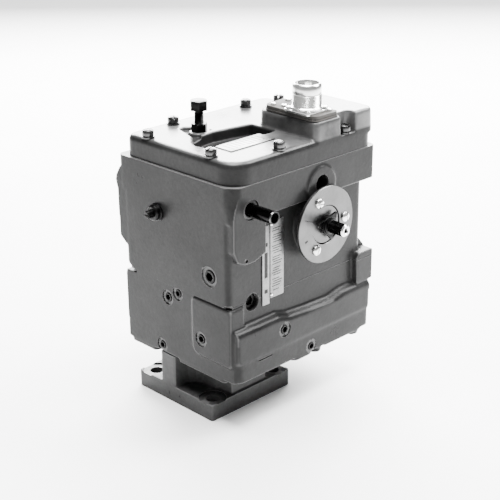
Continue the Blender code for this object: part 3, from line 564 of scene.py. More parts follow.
PAINT = cast_paint("grey_cast_paint", 0.09)
# the cover's paint carries a painted sheen on its top
PAINT_TOP_SHEEN = cast_paint("grey_cover_paint_sheen", 0.09, painted_sheen_from=COVER_TOP - 2.6)
# the base's paint is a 2.4 times lighter copy, painted light against the shade the base stands in
PAINT_BASE_LIGHTENED = cast_paint("grey_base_paint_lightened", 0.14, 2.4)
OXIDE = metal("black_oxide_steel", grey(0.004), grey(0.016), 0.36)
SCREW = metal("dark_screw_steel", grey(0.03), grey(0.11), 0.26)
STEEL = metal("ground_steel", (0.33, 0.33, 0.34), (0.5, 0.5, 0.51), 0.28)
NICKEL = metal("bright_nickel", (0.62, 0.62, 0.61), (0.85, 0.85, 0.84), 0.2)
DISC = radial_brushed("scale_metal_faced", (96, TERMINAL.y, TERMINAL.z), grey(0.06), grey(0.13), 0.34)
PLATE = metal("etched_plate", grey(0.05), grey(0.22), 0.34, 500)
FIELD = metal("plate_dark_field", grey(0.01), grey(0.03), 0.5)
GASKET = metal("gasket_sheet", grey(0.02), (0.05, 0.045, 0.04), 0.85, 400, metallic=0.0)
GLOSS_BLACK = metal("gloss_black_steel", grey(0.003), grey(0.007), 0.14)
RUBBER = metal("seal_rubber", grey(0.012), grey(0.03), 0.55, 300, metallic=0.0)
BRONZE = metal("machined_bronze", (0.38, 0.24, 0.1), (0.56, 0.38, 0.18), 0.3)
INSERT = metal("moulded_insert", (0.4, 0.4, 0.39), (0.6, 0.6, 0.58), 0.45, 300, metallic=0.0)
COPPER = metal("wound_copper", (0.35, 0.13, 0.05), (0.62, 0.3, 0.14), 0.34, 500, (1, 6, 1))


def clear_glass():
    """Slightly clouded sight glass."""
    made, tree, shader = new_material(
        "sight_glass_clear", (0.85, 0.88, 0.85), 0.06, Transmission_Weight=0.9, IOR=1.5
    )
    cloud = noise(tree, object_coordinates(tree), 90, 4, 0.6)
    tree.links.new(spread(tree, cloud, 0.03, 0.14), shader.inputs["Roughness"])
    return made


GLASS = clear_glass()


# Castings

def neck_outline():
    """The neck's cross: four ribs out to the flange's sides, with deep pockets at the corners."""
    edge = FLANGE_HALF - 0.4
    return [
        (-20, -edge), (1, -edge), (3, -40), (8, -33), (16, -30), (33, -29), (38, -26), (edge - 3, -25),
        (edge - 3, 23), (38, 24), (28, 29), (22, 38), (20, edge), (-20, edge), (-22, 38), (-28, 29),
        (-38, 24), (-edge, 22), (-edge, -22), (-38, -24), (-30, -29), (-24, -38),
    ]


def make_base():
    """Square flange and neck."""
    half = FLANGE_HALF
    solids = bmesh.new()
    prism(solids, rounded(-half, -half, half, half, 2.5), -2, FLANGE_HEIGHT)
    prism(solids, neck_outline(), 4, NECK_TOP + 3)
    crisp = []
    crisp.append(solid(block, (-90, -90, -10), (90, 90, 0)))
    crisp.append(solid(block, (-90, -90, NECK_TOP), (90, 90, 70)))
    bolt = [
        (0, -5), (BOLT_HOLE_R, -5), (BOLT_HOLE_R, BOLT_SEAT_Z), (BOLT_SEAT_R, BOLT_SEAT_Z),
        (BOLT_SEAT_R, 19.5),
        (0, 19.5),
    ]
    bm = bmesh.new()
    for x in (-BOLT_HALF, BOLT_HALF):
        for y in (-BOLT_HALF, BOLT_HALF):
            turned(bm, bolt, centre=(x, y))
    turned(bm, [(0, -5), (13, -5), (13, 5), (20, 5), (20, 20), (23.6, 20), (23.6, 70), (0, 70)])
    crisp.append(bm)
    casting(
        "base_casting", solids, [], crisp, PAINT_BASE_LIGHTENED, replaced=("base_flange", "base_gasket")
    )


def ledge_profile(x_high, z):
    """The ledge's cross-section where its rounded edge reaches a height."""
    return [
        (60, 95), (x_high, 95), (x_high, z - 7), (x_high - 1.5, z - 4), (x_high - 3.5, z - 2.4),
        (PANEL_X + 2, z - 0.5), (PANEL_X, z + 2), (60, z + 2),
    ]


def make_lower_case():
    """The pump case: ledge, corner details, bosses and scalloped underside."""
    x_low, x_high, y_high = -69.5, LOWER_HIGH.x - 0.3, 138.0
    solids = bmesh.new()
    body = [
        (x_low, 53.2), (x_high - 6, 53.2), (x_high - 6, 99), (PANEL_X, 99), (PANEL_X, PARTING + 4),
        (x_low + 0.2, PARTING + 4), (x_low + 0.2, 128), (x_low - 0.5, 122), (x_low - 0.4, 76), (x_low, 74),
    ]
    prism(solids, body, LOWER_FRONT_Y, y_high, "Y")
    lower = rounded(x_low + 8, LOWER_FRONT_Y + 0.5, x_high - 0.9, y_high - 0.5, (5, 5, 5, 7.5))
    upper = rounded(x_low + 8, LOWER_FRONT_Y, x_high, y_high, (4, 4, 4, 3.2))
    loft(solids, [(lower, 53.8), (lower, 72.6), (upper, 76), (upper, 99)])
    ledge = (
        (LOWER_FRONT_Y + 0.5, 110), (2, 110), (17, 106), (45, 104), (77, 103), (96, 106.8), (115, 107),
        (y_high - 0.5, 107)
    )
    loft(solids, [(ledge_profile(x_high, z), y) for y, z in ledge], "Y")
    prism(solids, rounded(-62, 126, 80, LOWER_HIGH.y - 0.2, 5), 101, PARTING + 4)
    block(solids, (-60, 120, 56), (82, 140, 70))
    # raised pad on the front face and at the rear of the side panel
    prism(solids, rounded(PAD_EDGE_X, 70, x_high - 7, 130, (2, 6, 9, 3)), FRONT_Y + 0.4, -40, "Y")
    prism(
        solids, [(118, 106), (Y_PAD_END, 106), (Y_PAD_END, 139), (120.5, 139), (117, 134)], 70,
        PANEL_X + 7.4, "X"
    )
    # bosses and lips of the underside
    prism(solids, rounded(60, 22, x_high - 0.8, 52.5, 8), 50.4, 70)
    prism(solids, rounded(60, 67, x_high - 1.2, 126, 5), 52.0, 70)
    for x, y, radius, low in (
        (84.5, 61, 7, 48.4), (84, 118.5, 7.5, 48.4), (-56, 39, 9, 48.4), (-56, 122, 9, 48.4),
        (-58, -46, 8, 48.4),
        (20, 128, 9, 48.4),
    ):
        rod(solids, radius, low, 70, centre=(x, y))
    prism(solids, rounded(6, LOWER_FRONT_Y + 0.3, 74, -40, 4), 49.0, 60)
    prism(solids, rounded(-66, LOWER_FRONT_Y + 0.3, -27, -40, 4), 48.6, 60)
    soft = []
    # bolt notch at the near left corner of the parting
    soft.append(solid(prism, [(-90, -90), (-53, -90), (-53, -46), (-90, -46)], 128.5, 150))
    crisp = []
    crisp.append(slab(PARTING - 0.25, 170))
    crisp.append(solid(block, (-FLANGE_HALF - 1, -46, 20), (FLANGE_HALF + 1, FLANGE_HALF + 1, CASE_BOTTOM)))
    crisp.append(solid(block, (-26, -62, 20), (5, -45, CASE_BOTTOM)))
    crisp += lower_bores()
    bm = bmesh.new()
    for (u, v, radius), axis, face in LOWER_PLUG_SEATS:
        inward = 1 if axis == "Y" else -1
        ends = sorted((face - inward * 6, face + inward * 9))
        rod(bm, radius + 0.1, *ends, axis, (u, v))
    crisp.append(bm)
    bm = bmesh.new()
    for (u, v, radius), axis, face in LOWER_PLUG_SEATS:
        inward = 1 if axis == "Y" else -1
        ends = sorted((face - inward * 6, face + inward * 1.3))
        rod(bm, radius + SPOT_WIDTH, *ends, axis, (u, v))
    crisp.append(bm)
    bm = solid(rod, DEEP_PLUG[2], 74, 100, "X", DEEP_PLUG[:2])
    block(bm, (x_high - 2.4, -27, 69.7), (x_high + 5, -8, 71.3))
    block(bm, (77, FRONT_Y - 5, PARTING - 1.6), (PANEL_X + 0.5, FRONT_Y + 5, PARTING + 5))
    crisp.append(bm)
    casting("lower_casting", solids, soft, crisp, PAINT, replaced=("lower_case",))


def lower_bores():
    """The pump case's working bores, as the frame has them."""
    cutters = []
    bm = solid(rod, DRIVE_BORE_R, 40, 80)
    rod(bm, IDLER_PIN_BORE_R, 60, 79, centre=IDLER)
    for name in ("accumulator_spring_1", "accumulator_spring_2"):
        low, high = node_box(name)
        rod(bm, ACCUMULATOR_BORE_R, 75.8, 150, centre=((low.x + high.x) / 2, (low.y + high.y) / 2))
    low, high = node_box("power_cylinder_head")
    rod(bm, POWER_BORE_R, 59.8, 150, centre=((low.x + high.x) / 2, (low.y + high.y) / 2))
    prism(bm, rounded(-58, 52, 0, 122, 8), 76, 150)
    cutters.append(bm)
    for centre, top in (((0, 0), 99), (IDLER, 98.7)):
        cutters.append(solid(rod, GEAR_POCKET_R, 78, top, centre=centre))
    bm = bmesh.new()
    outline = []
    for centre, start in ((IDLER, 135), ((0, 0), -45)):
        for i in range(17):
            a = math.radians(start + 180 * i / 16)
            outline.append(
                (
                    centre[0] + PUMP_COVER_POCKET_R * math.cos(a),
                    centre[1] + PUMP_COVER_POCKET_R * math.sin(a)
                )
            )
    prism(bm, outline, 98, 150)
    cutters.append(bm)
    return cutters


def make_upper_case():
    """The upper casting: flared rim corner, bosses, side panel and sloped rear foot."""
    x_low, x_high = -65.5, PANEL_X
    solids = bmesh.new()
    wall = rounded(x_low, FRONT_Y, x_high, 131, (7, 7, 6, 5))
    prism(solids, wall, PARTING - 4, UPPER_TOP + 4)
    rim_levels = []
    for z, front_radius in ((RIM_Z, 10), (227, 13), (240, 18), (UPPER_TOP + 4, 23)):
        rim_levels.append((rounded(-70.6, FRONT_Y, UPPER_HIGH.x - 2, 141.4, (12, 8, 6, front_radius)), z))
    rim_levels = [([(min(u, 91.3), v) for u, v in outline], z) for outline, z in rim_levels]
    loft(solids, rim_levels)
    # the broad boss on the left wall
    prism(
        solids,
        [
            (-50, 154), (-66, 158.5), (-73.5, 165), (-74.2, 214), (-76.6, 222), (-76.2, 228), (-70, 238),
            (-50, 240)
        ],
        FRONT_Y + 0.2, 96, "Y"
    )
    # rear foot
    prism(
        solids,
        [
            (118, PARTING - 4), (Y_PAD_END + 0.6, PARTING - 4), (Y_PAD_END + 0.6, 141), (131, 153),
            (118, 153)
        ],
        -60, 78, "X"
    )
    # front corner boss for the limit shaft
    prism(solids, LIMIT_BOSS, 70, 91.3, "X")
    prism(
        solids, [(118, 120), (Y_PAD_END, 120), (Y_PAD_END, 139), (120.5, 139), (117, 134)], 70,
        PANEL_X + 7.4, "X"
    )
    rod(solids, 30, 70, DISC_LOW.x - 0.8, "X", (TERMINAL.y, TERMINAL.z), 64)
    rod(solids, 19.5, 70, 93, "X", (60, 228), 64)
    soft = []
    # bolt notch at the near left corner
    soft.append(
        solid(
            prism, [(-90, 110), (-90, 145), (x_low - 6, 143), (x_low + 1, 139.5), (-53, 132.5), (-53, 110)],
            -90, -46, "Y"
        )
    )
    crisp = []
    crisp.append(slab(100, PARTING + 0.15))
    crisp.append(slab(UPPER_TOP, 300))
    for outline, low, high in (
        (rounded(-57.5, -50.3, 76, 123, 8), 110, RIM_Z - 4),
        (rounded(-38, -42, 76, 124, 8), 200, 280),
    ):
        crisp.append(solid(prism, outline, low, high))
    for low, high in (
        ((-70, -34, 166), (-50, 72, 212)), ((44, -51, 209), (62, -21, 243)),
        ((-44, -12, 224), (-30, 12, 280))
    ):
        crisp.append(solid(block, low, high))
    bm = solid(rod, OUTPUT_BORE_R, 60, 110, "X", (TERMINAL.y, TERMINAL.z))
    rod(bm, OUTPUT_BORE_R, -95, -60, "X", (TERMINAL.y, TERMINAL.z))
    limit = [(0, 40), (6.6, 40), (6.6, 87), (10, 87), (10, 100), (0, 100)]
    turned(bm, limit, "X", (LIMIT.y, LIMIT.z))
    rod(bm, 9, 80, 100, "X", (60, 230))
    rod(bm, UPPER_PLUG[2] + 0.1, FRONT_Y - 5, -48, "Y", UPPER_PLUG[:2])
    rod(bm, 5.8, FRONT_Y - 5, -48, "Y", (NEEDLE.x, NEEDLE.z))
    low, high = node_box("sight_glass")
    rod(bm, 9.4, 118, 140, "Y", ((low.x + high.x) / 2, (low.z + high.z) / 2))
    rod(bm, DEEP_PLUG[2], 74, 100, "X", DEEP_PLUG[:2])
    crisp.append(bm)
    bm = solid(rod, UPPER_PLUG[2] + 3.4, FRONT_Y - 5, FRONT_Y + 1.6, "Y", UPPER_PLUG[:2])
    turned(bm, [(0, 89.6), (1.6, 90.2), (1.9, 96), (0, 96)], "X", (-41, 178.5), 24)
    block(bm, (77, FRONT_Y - 5, 120), (PANEL_X + 0.5, FRONT_Y + 5, PARTING + 2.2))
    crisp.append(bm)
    casting("upper_casting", solids, soft, crisp, PAINT, replaced=("upper_case",))


def trough_outline():
    """The deep dip in the cover's top, between the speed screw's boss and the cover's plate."""
    return [
        (9, -31), (18, -36), (36, -34), (35.4, -26), (35, -13), (34, 16), (35.4, 31), (39, 37), (38, 51.5),
        (4.9, 51.5), (0.3, 29), (-3, 6), (-1, -12), (3, -22),
    ]


def shallow_outline():
    """The shallow dip that runs round the speed screw's boss from the deep one."""
    outer = [
        (9, -31), (-2.8, -19.7), (-20, -13.7), (-33.6, -9.4), (-35, -3), (-28, 4), (-20, 11), (-4, 9.8)
    ]
    arc = []
    for i in range(19):
        a = math.radians(62 + 262 * i / 18)
        arc.append((SPEED.x + SPEED_BOSS_R * math.cos(a), SPEED.y + SPEED_BOSS_R * math.sin(a)))
    return outer + arc + [(2, -12), (8, -28)]


def make_cover():
    """The cast cover with its trough and raised box."""
    solids = bmesh.new()
    levels = []
    for inset, z in (
        (0, COVER_BOTTOM - 4), (0, COVER_TOP - 5), (0.8, COVER_TOP - 2.6), (2.4, COVER_TOP - 0.8),
        (4.5, COVER_TOP)
    ):
        radii = (14 - inset * 0.5, 12 - inset * 0.5, 10 - inset * 0.5, 21 - inset * 0.5)
        levels.append((rounded(-61.6 + inset, -55.6 + inset, 90.6 - inset, 138.6 - inset, radii), z))
    loft(solids, levels)
    levels = []
    for inset, z in ((0, COVER_TOP - 8), (0.6, BOX_TOP - 3), (1.4, BOX_TOP - 1), (3.2, BOX_TOP)):
        levels.append((rounded(9.5 + inset, 52.0 + inset, 90.6 - inset, 140.2 - inset, (10, 10, 14, 6)), z))
    loft(solids, levels)
    rod(solids, 7, COVER_BOTTOM - 6, COVER_TOP - 4, centre=(SPEED.x, SPEED.y))
    soft = []
    soft.append(solid(prism, trough_outline(), TROUGH_FLOOR, COVER_TOP + 20))
    soft.append(solid(prism, shallow_outline(), SHALLOW_FLOOR, COVER_TOP + 20))
    soft.append(solid(prism, rounded(79, 88.5, 110, 110.5, 6), GROOVE_FLOOR, 320))
    crisp = []
    crisp.append(slab(200, COVER_BOTTOM))
    bm = solid(prism, rounded(-38, -42, -8, 118, 8), 245, 266)
    prism(bm, rounded(15, 58, 74, 122, 6), 245, 284)
    crisp.append(bm)
    crisp.append(solid(rod, 5.1, 240, 300, centre=(SPEED.x, SPEED.y)))
    bm = bmesh.new()
    for x, y, seat in COVER_SCREWS:
        rod(bm, COVER_SCREW_HOLE_R, 240, seat + 30, centre=(x, y), sides=24)
    rod(bm, WIRE_HOLE_R, 280, 300, centre=WIRE_HOLE)
    crisp.append(bm)
    casting("cover_casting", solids, soft, crisp, PAINT_TOP_SHEEN, replaced=("top_cover",))


# Fasteners

def lock_screw(number, x, y, seat):
    """A slotted fillister-head screw on a split lock washer."""
    bm = bmesh.new()
    head = [
        (0, seat - 20), (3, seat - 20), (3, seat + 1.9), (5.4, seat + 1.9), (5.6, seat + 2.3),
        (5.6, seat + 6.2),
        (5.0, seat + 7.6), (3.2, seat + 8.4), (0, seat + 8.6),
    ]
    turned(bm, head, centre=(x, y), sides=40)
    slot = turned_block((-8, -0.75, seat + 6.0), (8, 0.75, seat + 12), 0.9 * number, "Z", (x, y, 0))
    piece(f"cover_screw_{number}", bm, SCREW, cuts=[slot], bevel=0.18)
    bm = solid(tube, 3.2, 6.6, seat + 0.05, seat + 1.8, centre=(x, y), sides=40)
    split = turned_block((2, -0.5, seat - 2), (9, 0.5, seat + 4), 1.7 * number + 0.4, "Z", (x, y, 0))
    piece(f"cover_lock_washer_{number}", bm, SCREW, cuts=[split], bevel=0.12)


def socket_plug(name, plug, axis, face, depth=1.3, replaced=()):
    """A hexagon-socket pipe plug, sunk in its spotface."""
    u, v, radius = plug
    inward = 1 if axis == "Y" else -1
    start = face + inward * depth * 0.3
    bm = bmesh.new()
    profile = [
        (0, start + inward * 7), (radius - 0.2, start + inward * 7), (radius - 0.05, start + inward * 0.9),
        (radius - 0.7, start + inward * 0.1), (0, start + inward * 0.1),
    ]
    turned(bm, profile, axis, (u, v))
    socket = solid(
        prism, circle(radius * 0.66, (u, v), 6), *sorted((start - inward * 3, start + inward * 5.5)), axis
    )
    piece(name, bm, OXIDE, cuts=[socket], bevel=0.15, replaced=replaced)


def make_plugs():
    """Every plug in the two castings."""
    replaced = (
        "lower_front_plug_1", "lower_front_plug_2", "lower_front_plug_3", None, "lower_side_plug", None
    )
    for number, ((plug, axis, face), node) in enumerate(zip(LOWER_PLUG_SEATS, replaced), 1):
        socket_plug(f"pipe_plug_{number}", plug, axis, face, replaced=(node,) if node else ())
    socket_plug("pipe_plug_upper", UPPER_PLUG, "Y", FRONT_Y, 1.6, replaced=("upper_front_plug",))
    y, z, radius = DEEP_PLUG
    bm = solid(
        turned, [(0, 74.3), (radius - 0.3, 74.3), (radius - 0.3, 78.5), (radius - 1.2, 79.3), (0, 79.3)],
        "X", (y, z)
    )
    socket = solid(prism, circle(5, (y, z), 6), 76, 85, "X")
    piece("access_plug", bm, OXIDE, cuts=[socket], bevel=0.2)


def make_needle_valve():
    """Needle valve: round bushing and slotted screw."""
    centre = (NEEDLE.x, NEEDLE.z)
    face = FRONT_Y
    bm = solid(
        turned,
        [
            (4.3, -50), (5.6, -50), (5.6, face - 0.2), (9, face - 0.2), (9, face - 1.6), (8, face - 2.2),
            (8, face - 5.6), (6.6, face - 7), (4.3, face - 7)
        ],
        "Y", centre
    )
    piece("needle_bushing", bm, OXIDE, bevel=0.15, replaced=("needle_valve_bushing",))
    bm = solid(
        turned, [(0, -44), (4, -50), (4, NEEDLE_END + 1.2), (3.2, NEEDLE_END), (0, NEEDLE_END)], "Y", centre
    )
    slot = solid(
        block, (NEEDLE.x - 6, NEEDLE_END - 2, NEEDLE.z - 0.6),
        (NEEDLE.x + 6, NEEDLE_END + 2.2, NEEDLE.z + 0.6)
    )
    piece("needle_screw", bm, OXIDE, "needle_valve", ("needle_valve_screw",), 0.12, [slot])


def make_speed_screw():
    """The tall adjusting screw with its threaded shank and lock nut."""
    centre = (SPEED.x, SPEED.y)
    seat = COVER_TOP + 0.3
    bm = bmesh.new()
    profile = [(0, 236), (4.6, 236)]
    z = 258.0
    while z < 292:
        profile += [(4.75, z), (4.2, z + 0.62)]
        z += 1.25
    profile += [(4.2, SPEED_TOP - 11.5), (4.2, SPEED_TOP - 9.4), (0, SPEED_TOP - 9.4)]
    turned(bm, profile, centre=centre, sides=32)
    piece("speed_screw_shank", bm, OXIDE, "speed_screw", ("speed_screw",))
    bm = solid(prism, circle(9.15, centre, 6, 0.35), SPEED_TOP - 9.6, SPEED_TOP)
    corner = solid(
        turned,
        [
            (8.1, SPEED_TOP + 1), (8.1, SPEED_TOP), (9.6, SPEED_TOP - 1.0), (12, SPEED_TOP - 1.0),
            (12, SPEED_TOP + 1)
        ],
        centre=centre
    )
    piece("speed_screw_head", bm, OXIDE, "speed_screw", bevel=0.3, cuts=[corner])
    bm = solid(prism, circle(8.25, centre, 6, 0.1), seat, seat + 8)
    corners = solid(
        turned, [(7.2, seat + 9), (7.2, seat + 8), (8.7, seat + 7.1), (12, seat + 7.1), (12, seat + 9)],
        centre=centre
    )
    bore = solid(rod, 4.9, seat - 5, seat + 15, centre=centre)
    piece("speed_nut", bm, OXIDE, "speed_locknut", ("speed_locknut",), 0.25, [corners, bore])


def serrated(outer, inner, count, centre):
    """A serrated shaft's outline."""
    points = []
    for i in range(count):
        a = 2 * math.pi * i / count
        step = 2 * math.pi / count
        for part, radius in ((0.0, outer), (0.18, outer), (0.5, inner), (0.68, inner)):
            b = a + part * step
            points.append((centre[0] + radius * math.cos(b), centre[1] + radius * math.sin(b)))
    return points


def make_output():
    """Output shaft end, pointer, scale disc and its screws."""
    centre = (TERMINAL.y, TERMINAL.z)
    end = TERMINAL_END
    bm = bmesh.new()
    body = circle(7.95, centre, 144)
    collar = circle(7.3, centre, 144)
    groove = circle(5.9, centre, 144)
    teeth = serrated(6.3, 5.6, 36, centre)
    loft(
        bm,
        [
            (body, -74), (body, 105.6), (collar, 106), (groove, 106.1), (groove, 107.2), (teeth, 107.8),
            (teeth, end - 1.85)
        ],
        "X"
    )
    bore = solid(turned, [(0, end - 8), (2.4, end - 5), (2.4, end + 2), (0, end + 2)], "X", centre, 32)
    piece("output_shaft", bm, OXIDE, "output", ("terminal_shaft",), cuts=[bore])
    bm = solid(
        turned,
        [
            (2.5, end - 1.8), (6.1, end - 1.8), (6.1, end - 1.5), (4.7, end - 0.05), (3.3, end - 0.05),
            (2.5, end - 1.0)
        ],
        "X", centre, 64
    )
    piece("output_shaft_tip", bm, NICKEL, "output")
    bm = bmesh.new()
    plate = circle(16.8, centre, 3, math.radians(POINTER_ANGLE))
    corners = []
    for i, (u, v) in enumerate(plate):
        for other in (plate[i - 1], plate[(i + 1) % 3]):
            corners.append((u + (other[0] - u) * 0.04, v + (other[1] - v) * 0.04))
    prism(bm, corners, 101.1, 103.9, "X")
    bore = solid(rod, 8.2, 90, 110, "X", centre)
    piece("pointer_plate", bm, OXIDE, "output", ("output_pointer",), 0.25, cuts=[bore])
    bm = solid(tube, 8.05, 9.7, 100.1, 104.9, "X", centre)
    piece("pointer_hub", bm, OXIDE, "output", bevel=0.3)
    make_scale_disc(centre)


def make_scale_disc(centre):
    """The faced disc with its stops' marks, inner washer and three slotted screws."""
    low, high = DISC_LOW.x, DISC_HIGH.x
    bm = bmesh.new()
    profile = [
        (19.6, low), (DISC_R - 0.4, low), (DISC_R, low + 0.4), (DISC_R, high - 0.5), (DISC_R - 0.5, high),
        (20.0, high), (19.6, high - 0.4),
    ]
    turned(bm, profile, "X", centre, 128)
    spots = []
    for angle in DISC_SCREW_ANGLES:
        a = math.radians(angle)
        spots.append(
            (centre[0] + DISC_SCREW_RADIUS * math.cos(a), centre[1] + DISC_SCREW_RADIUS * math.sin(a))
        )
    holes = bmesh.new()
    for spot in spots:
        rod(holes, 2.6, low - 5, high + 5, "X", spot, 24)
    cuts = [holes]
    for _, angle, inner, outer, half in SCALE_MARKS:
        mark = turned_block(
            (high - 0.5, inner, -half), (high + 3, outer, half), math.radians(angle), "X", (0, *centre)
        )
        cuts.append(mark)
    piece("scale_plate", bm, DISC, replaced=("scale_disc",), cuts=cuts)
    bm = solid(
        turned, [(8.4, low), (19.1, low), (19.1, high - 1.8), (18.7, high - 1.4), (8.4, high - 1.4)], "X",
        centre, 96
    )
    piece("seal_washer", bm, DISC, replaced=("seal_retainer",))
    for number, spot in enumerate(spots, 1):
        bm = bmesh.new()
        head = [
            (0, 87), (2.2, 87), (2.2, high + 0.1), (5.2, high + 0.1), (5.3, high + 0.7), (4.9, high + 1.9),
            (3.6, high + 3.0), (1.8, high + 3.5), (0, high + 3.6),
        ]
        turned(bm, head, "X", spot, 40)
        slot = turned_block((high + 1.7, -7, -0.7), (high + 6, 7, 0.7), 0.5 + 1.3 * number, "X", (0, *spot))
        piece(f"scale_screw_{number}", bm, NICKEL, cuts=[slot], bevel=0.1)
    for name, angle, inner, outer, half in SCALE_MARKS:
        bm = turned_block(
            (high - 0.45, inner + 0.1, 0.1 - half), (high - 0.1, outer - 0.1, half - 0.1),
            math.radians(angle), "X", (0, *centre)
        )
        piece(name, bm, FIELD)


def make_limit_shaft():
    """The gloss black limit shaft with its recessed end, bare rim and seal ring."""
    centre = (LIMIT.y, LIMIT.z)
    end = LIMIT_END
    bm = bmesh.new()
    profile = [
        (0, 46), (11, 46), (11, 58), (6.25, 58), (6.25, end - 1.3), (5.6, end - 1.2), (5.6, end - 0.1),
        (4.7, end - 0.1), (4.7, end - 5), (0, end - 5.6)
    ]
    turned(bm, profile, "X", centre, 64)
    piece("limit_spindle", bm, GLOSS_BLACK, "limit_shaft", ("limit_shaft",))
    bm = solid(
        turned, [(5.65, end - 1.15), (6.25, end - 1.25), (5.85, end - 0.05), (5.65, end - 0.05)], "X",
        centre, 64
    )
    piece("limit_spindle_rim", bm, SCREW, "limit_shaft")
    bm = solid(turned, [(6.6, 87.2), (9.8, 87.2), (9.8, 89.4), (7.6, 90.2), (6.6, 89.4)], "X", centre, 64)
    piece("limit_seal", bm, RUBBER)


def make_connector():
    """The threaded round connector with its flange, pins and screws."""
    cx = (SHELL_LOW.x + SHELL_HIGH.x) / 2
    cy = (SHELL_LOW.y + SHELL_HIGH.y) / 2
    low, top = SHELL_LOW.z, SHELL_HIGH.z
    half = (SHELL_HIGH.x - SHELL_LOW.x) / 2
    bm = solid(prism, rounded(cx - half, cy - half, cx + half, cy + half, 3), low - 0.2, low + 2.4)
    corners = [(cx + sx * 12.3, cy + sy * 12.3) for sx in (-1, 1) for sy in (-1, 1)]
    holes = bmesh.new()
    for corner in corners:
        rod(holes, 1.9, low - 5, low + 10, centre=corner, sides=20)
    piece("connector_flange", bm, NICKEL, cuts=[holes], bevel=0.25)
    profile = [(11.6, low + 2.3), (15.6, low + 2.3), (15.6, low + 4.4), (14.6, low + 5.2)]
    z = low + 5.2
    while z < low + 16.5:
        profile += [(14.3, z), (13.8, z + 0.6)]
        z += 1.2
    profile += [
        (13.7, low + 17.4), (14.1, low + 18.2), (14.1, top - 2.6), (13.4, top - 1.0), (12.2, top),
        (11.9, top), (11.6, top - 0.6)
    ]
    bm = solid(turned, profile, centre=(cx, cy), sides=72)
    key = turned_block((-1.3, 8, top - 4), (1.3, 16, top + 3), math.radians(100), "Z", (cx, cy, 0))
    piece("connector_barrel", bm, NICKEL, replaced=("connector_shell",), cuts=[key])
    bm = solid(
        turned, [(0, low + 3.3), (11.4, low + 3.3), (11.4, top - 8), (10.9, top - 7.6), (0, top - 7.6)],
        centre=(cx, cy), sides=64
    )
    piece("connector_face", bm, INSERT, replaced=("connector_insert",))
    for i in range(PIN_COUNT):
        a = 2 * math.pi * i / PIN_COUNT
        bm = bmesh.new()
        centre = (cx + PIN_CIRCLE_R * math.cos(a), cy + PIN_CIRCLE_R * math.sin(a))
        turned(
            bm, [(0, top - 7.5), (0.85, top - 7.5), (0.85, top - 5.4), (0.4, top - 4.8), (0, top - 4.7)],
            centre=centre, sides=16
        )
        piece(f"connector_pin_{i + 1}", bm, SCREW)
    for number, (x, y) in enumerate(corners, 1):
        pan_screw(f"connector_screw_{number}", x, y, low + 2.5)


def pan_screw(name, x, y, seat):
    """A slotted pan-head screw."""
    radius = 2.9
    bm = bmesh.new()
    head = [
        (0, seat - 2.6), (1.6, seat - 2.6), (1.6, seat), (radius, seat), (radius, seat + 0.9),
        (radius * 0.75, seat + 1.9), (0, seat + 2.2)
    ]
    turned(bm, head, centre=(x, y), sides=32)
    slot = turned_block((-5, -0.4, seat + 1.0), (5, 0.4, seat + 4), 0.37 * x + y, "Z", (x, y, 0))
    piece(name, bm, NICKEL, cuts=[slot], bevel=0.08)


def make_connector_plate():
    """The adapter plate under the connector, on its gasket."""
    outline = rounded(19, 54, 88, 87, (4, 6, 8, 6))
    bm = solid(prism, outline, BOX_TOP + 1.5, PLATE_TOP)
    hole = solid(rod, WIRE_HOLE_R, 270, 310, centre=WIRE_HOLE)
    piece("adapter_plate", bm, GASKET, cuts=[hole], bevel=0.5, replaced=("connector_plate",))
    bm = solid(prism, rounded(18.4, 53.4, 88.6, 87.6, (4, 6, 8, 6)), BOX_TOP + 0.05, BOX_TOP + 1.45)
    hole = solid(rod, WIRE_HOLE_R, 270, 310, centre=WIRE_HOLE)
    piece("adapter_gasket", bm, GASKET, cuts=[hole])
    for number, (x, y) in enumerate(((27, 60), (39, 63), (27, 81), (81, 81)), 1):
        pan_screw(f"adapter_screw_{number}", x, y, PLATE_TOP + 0.1)


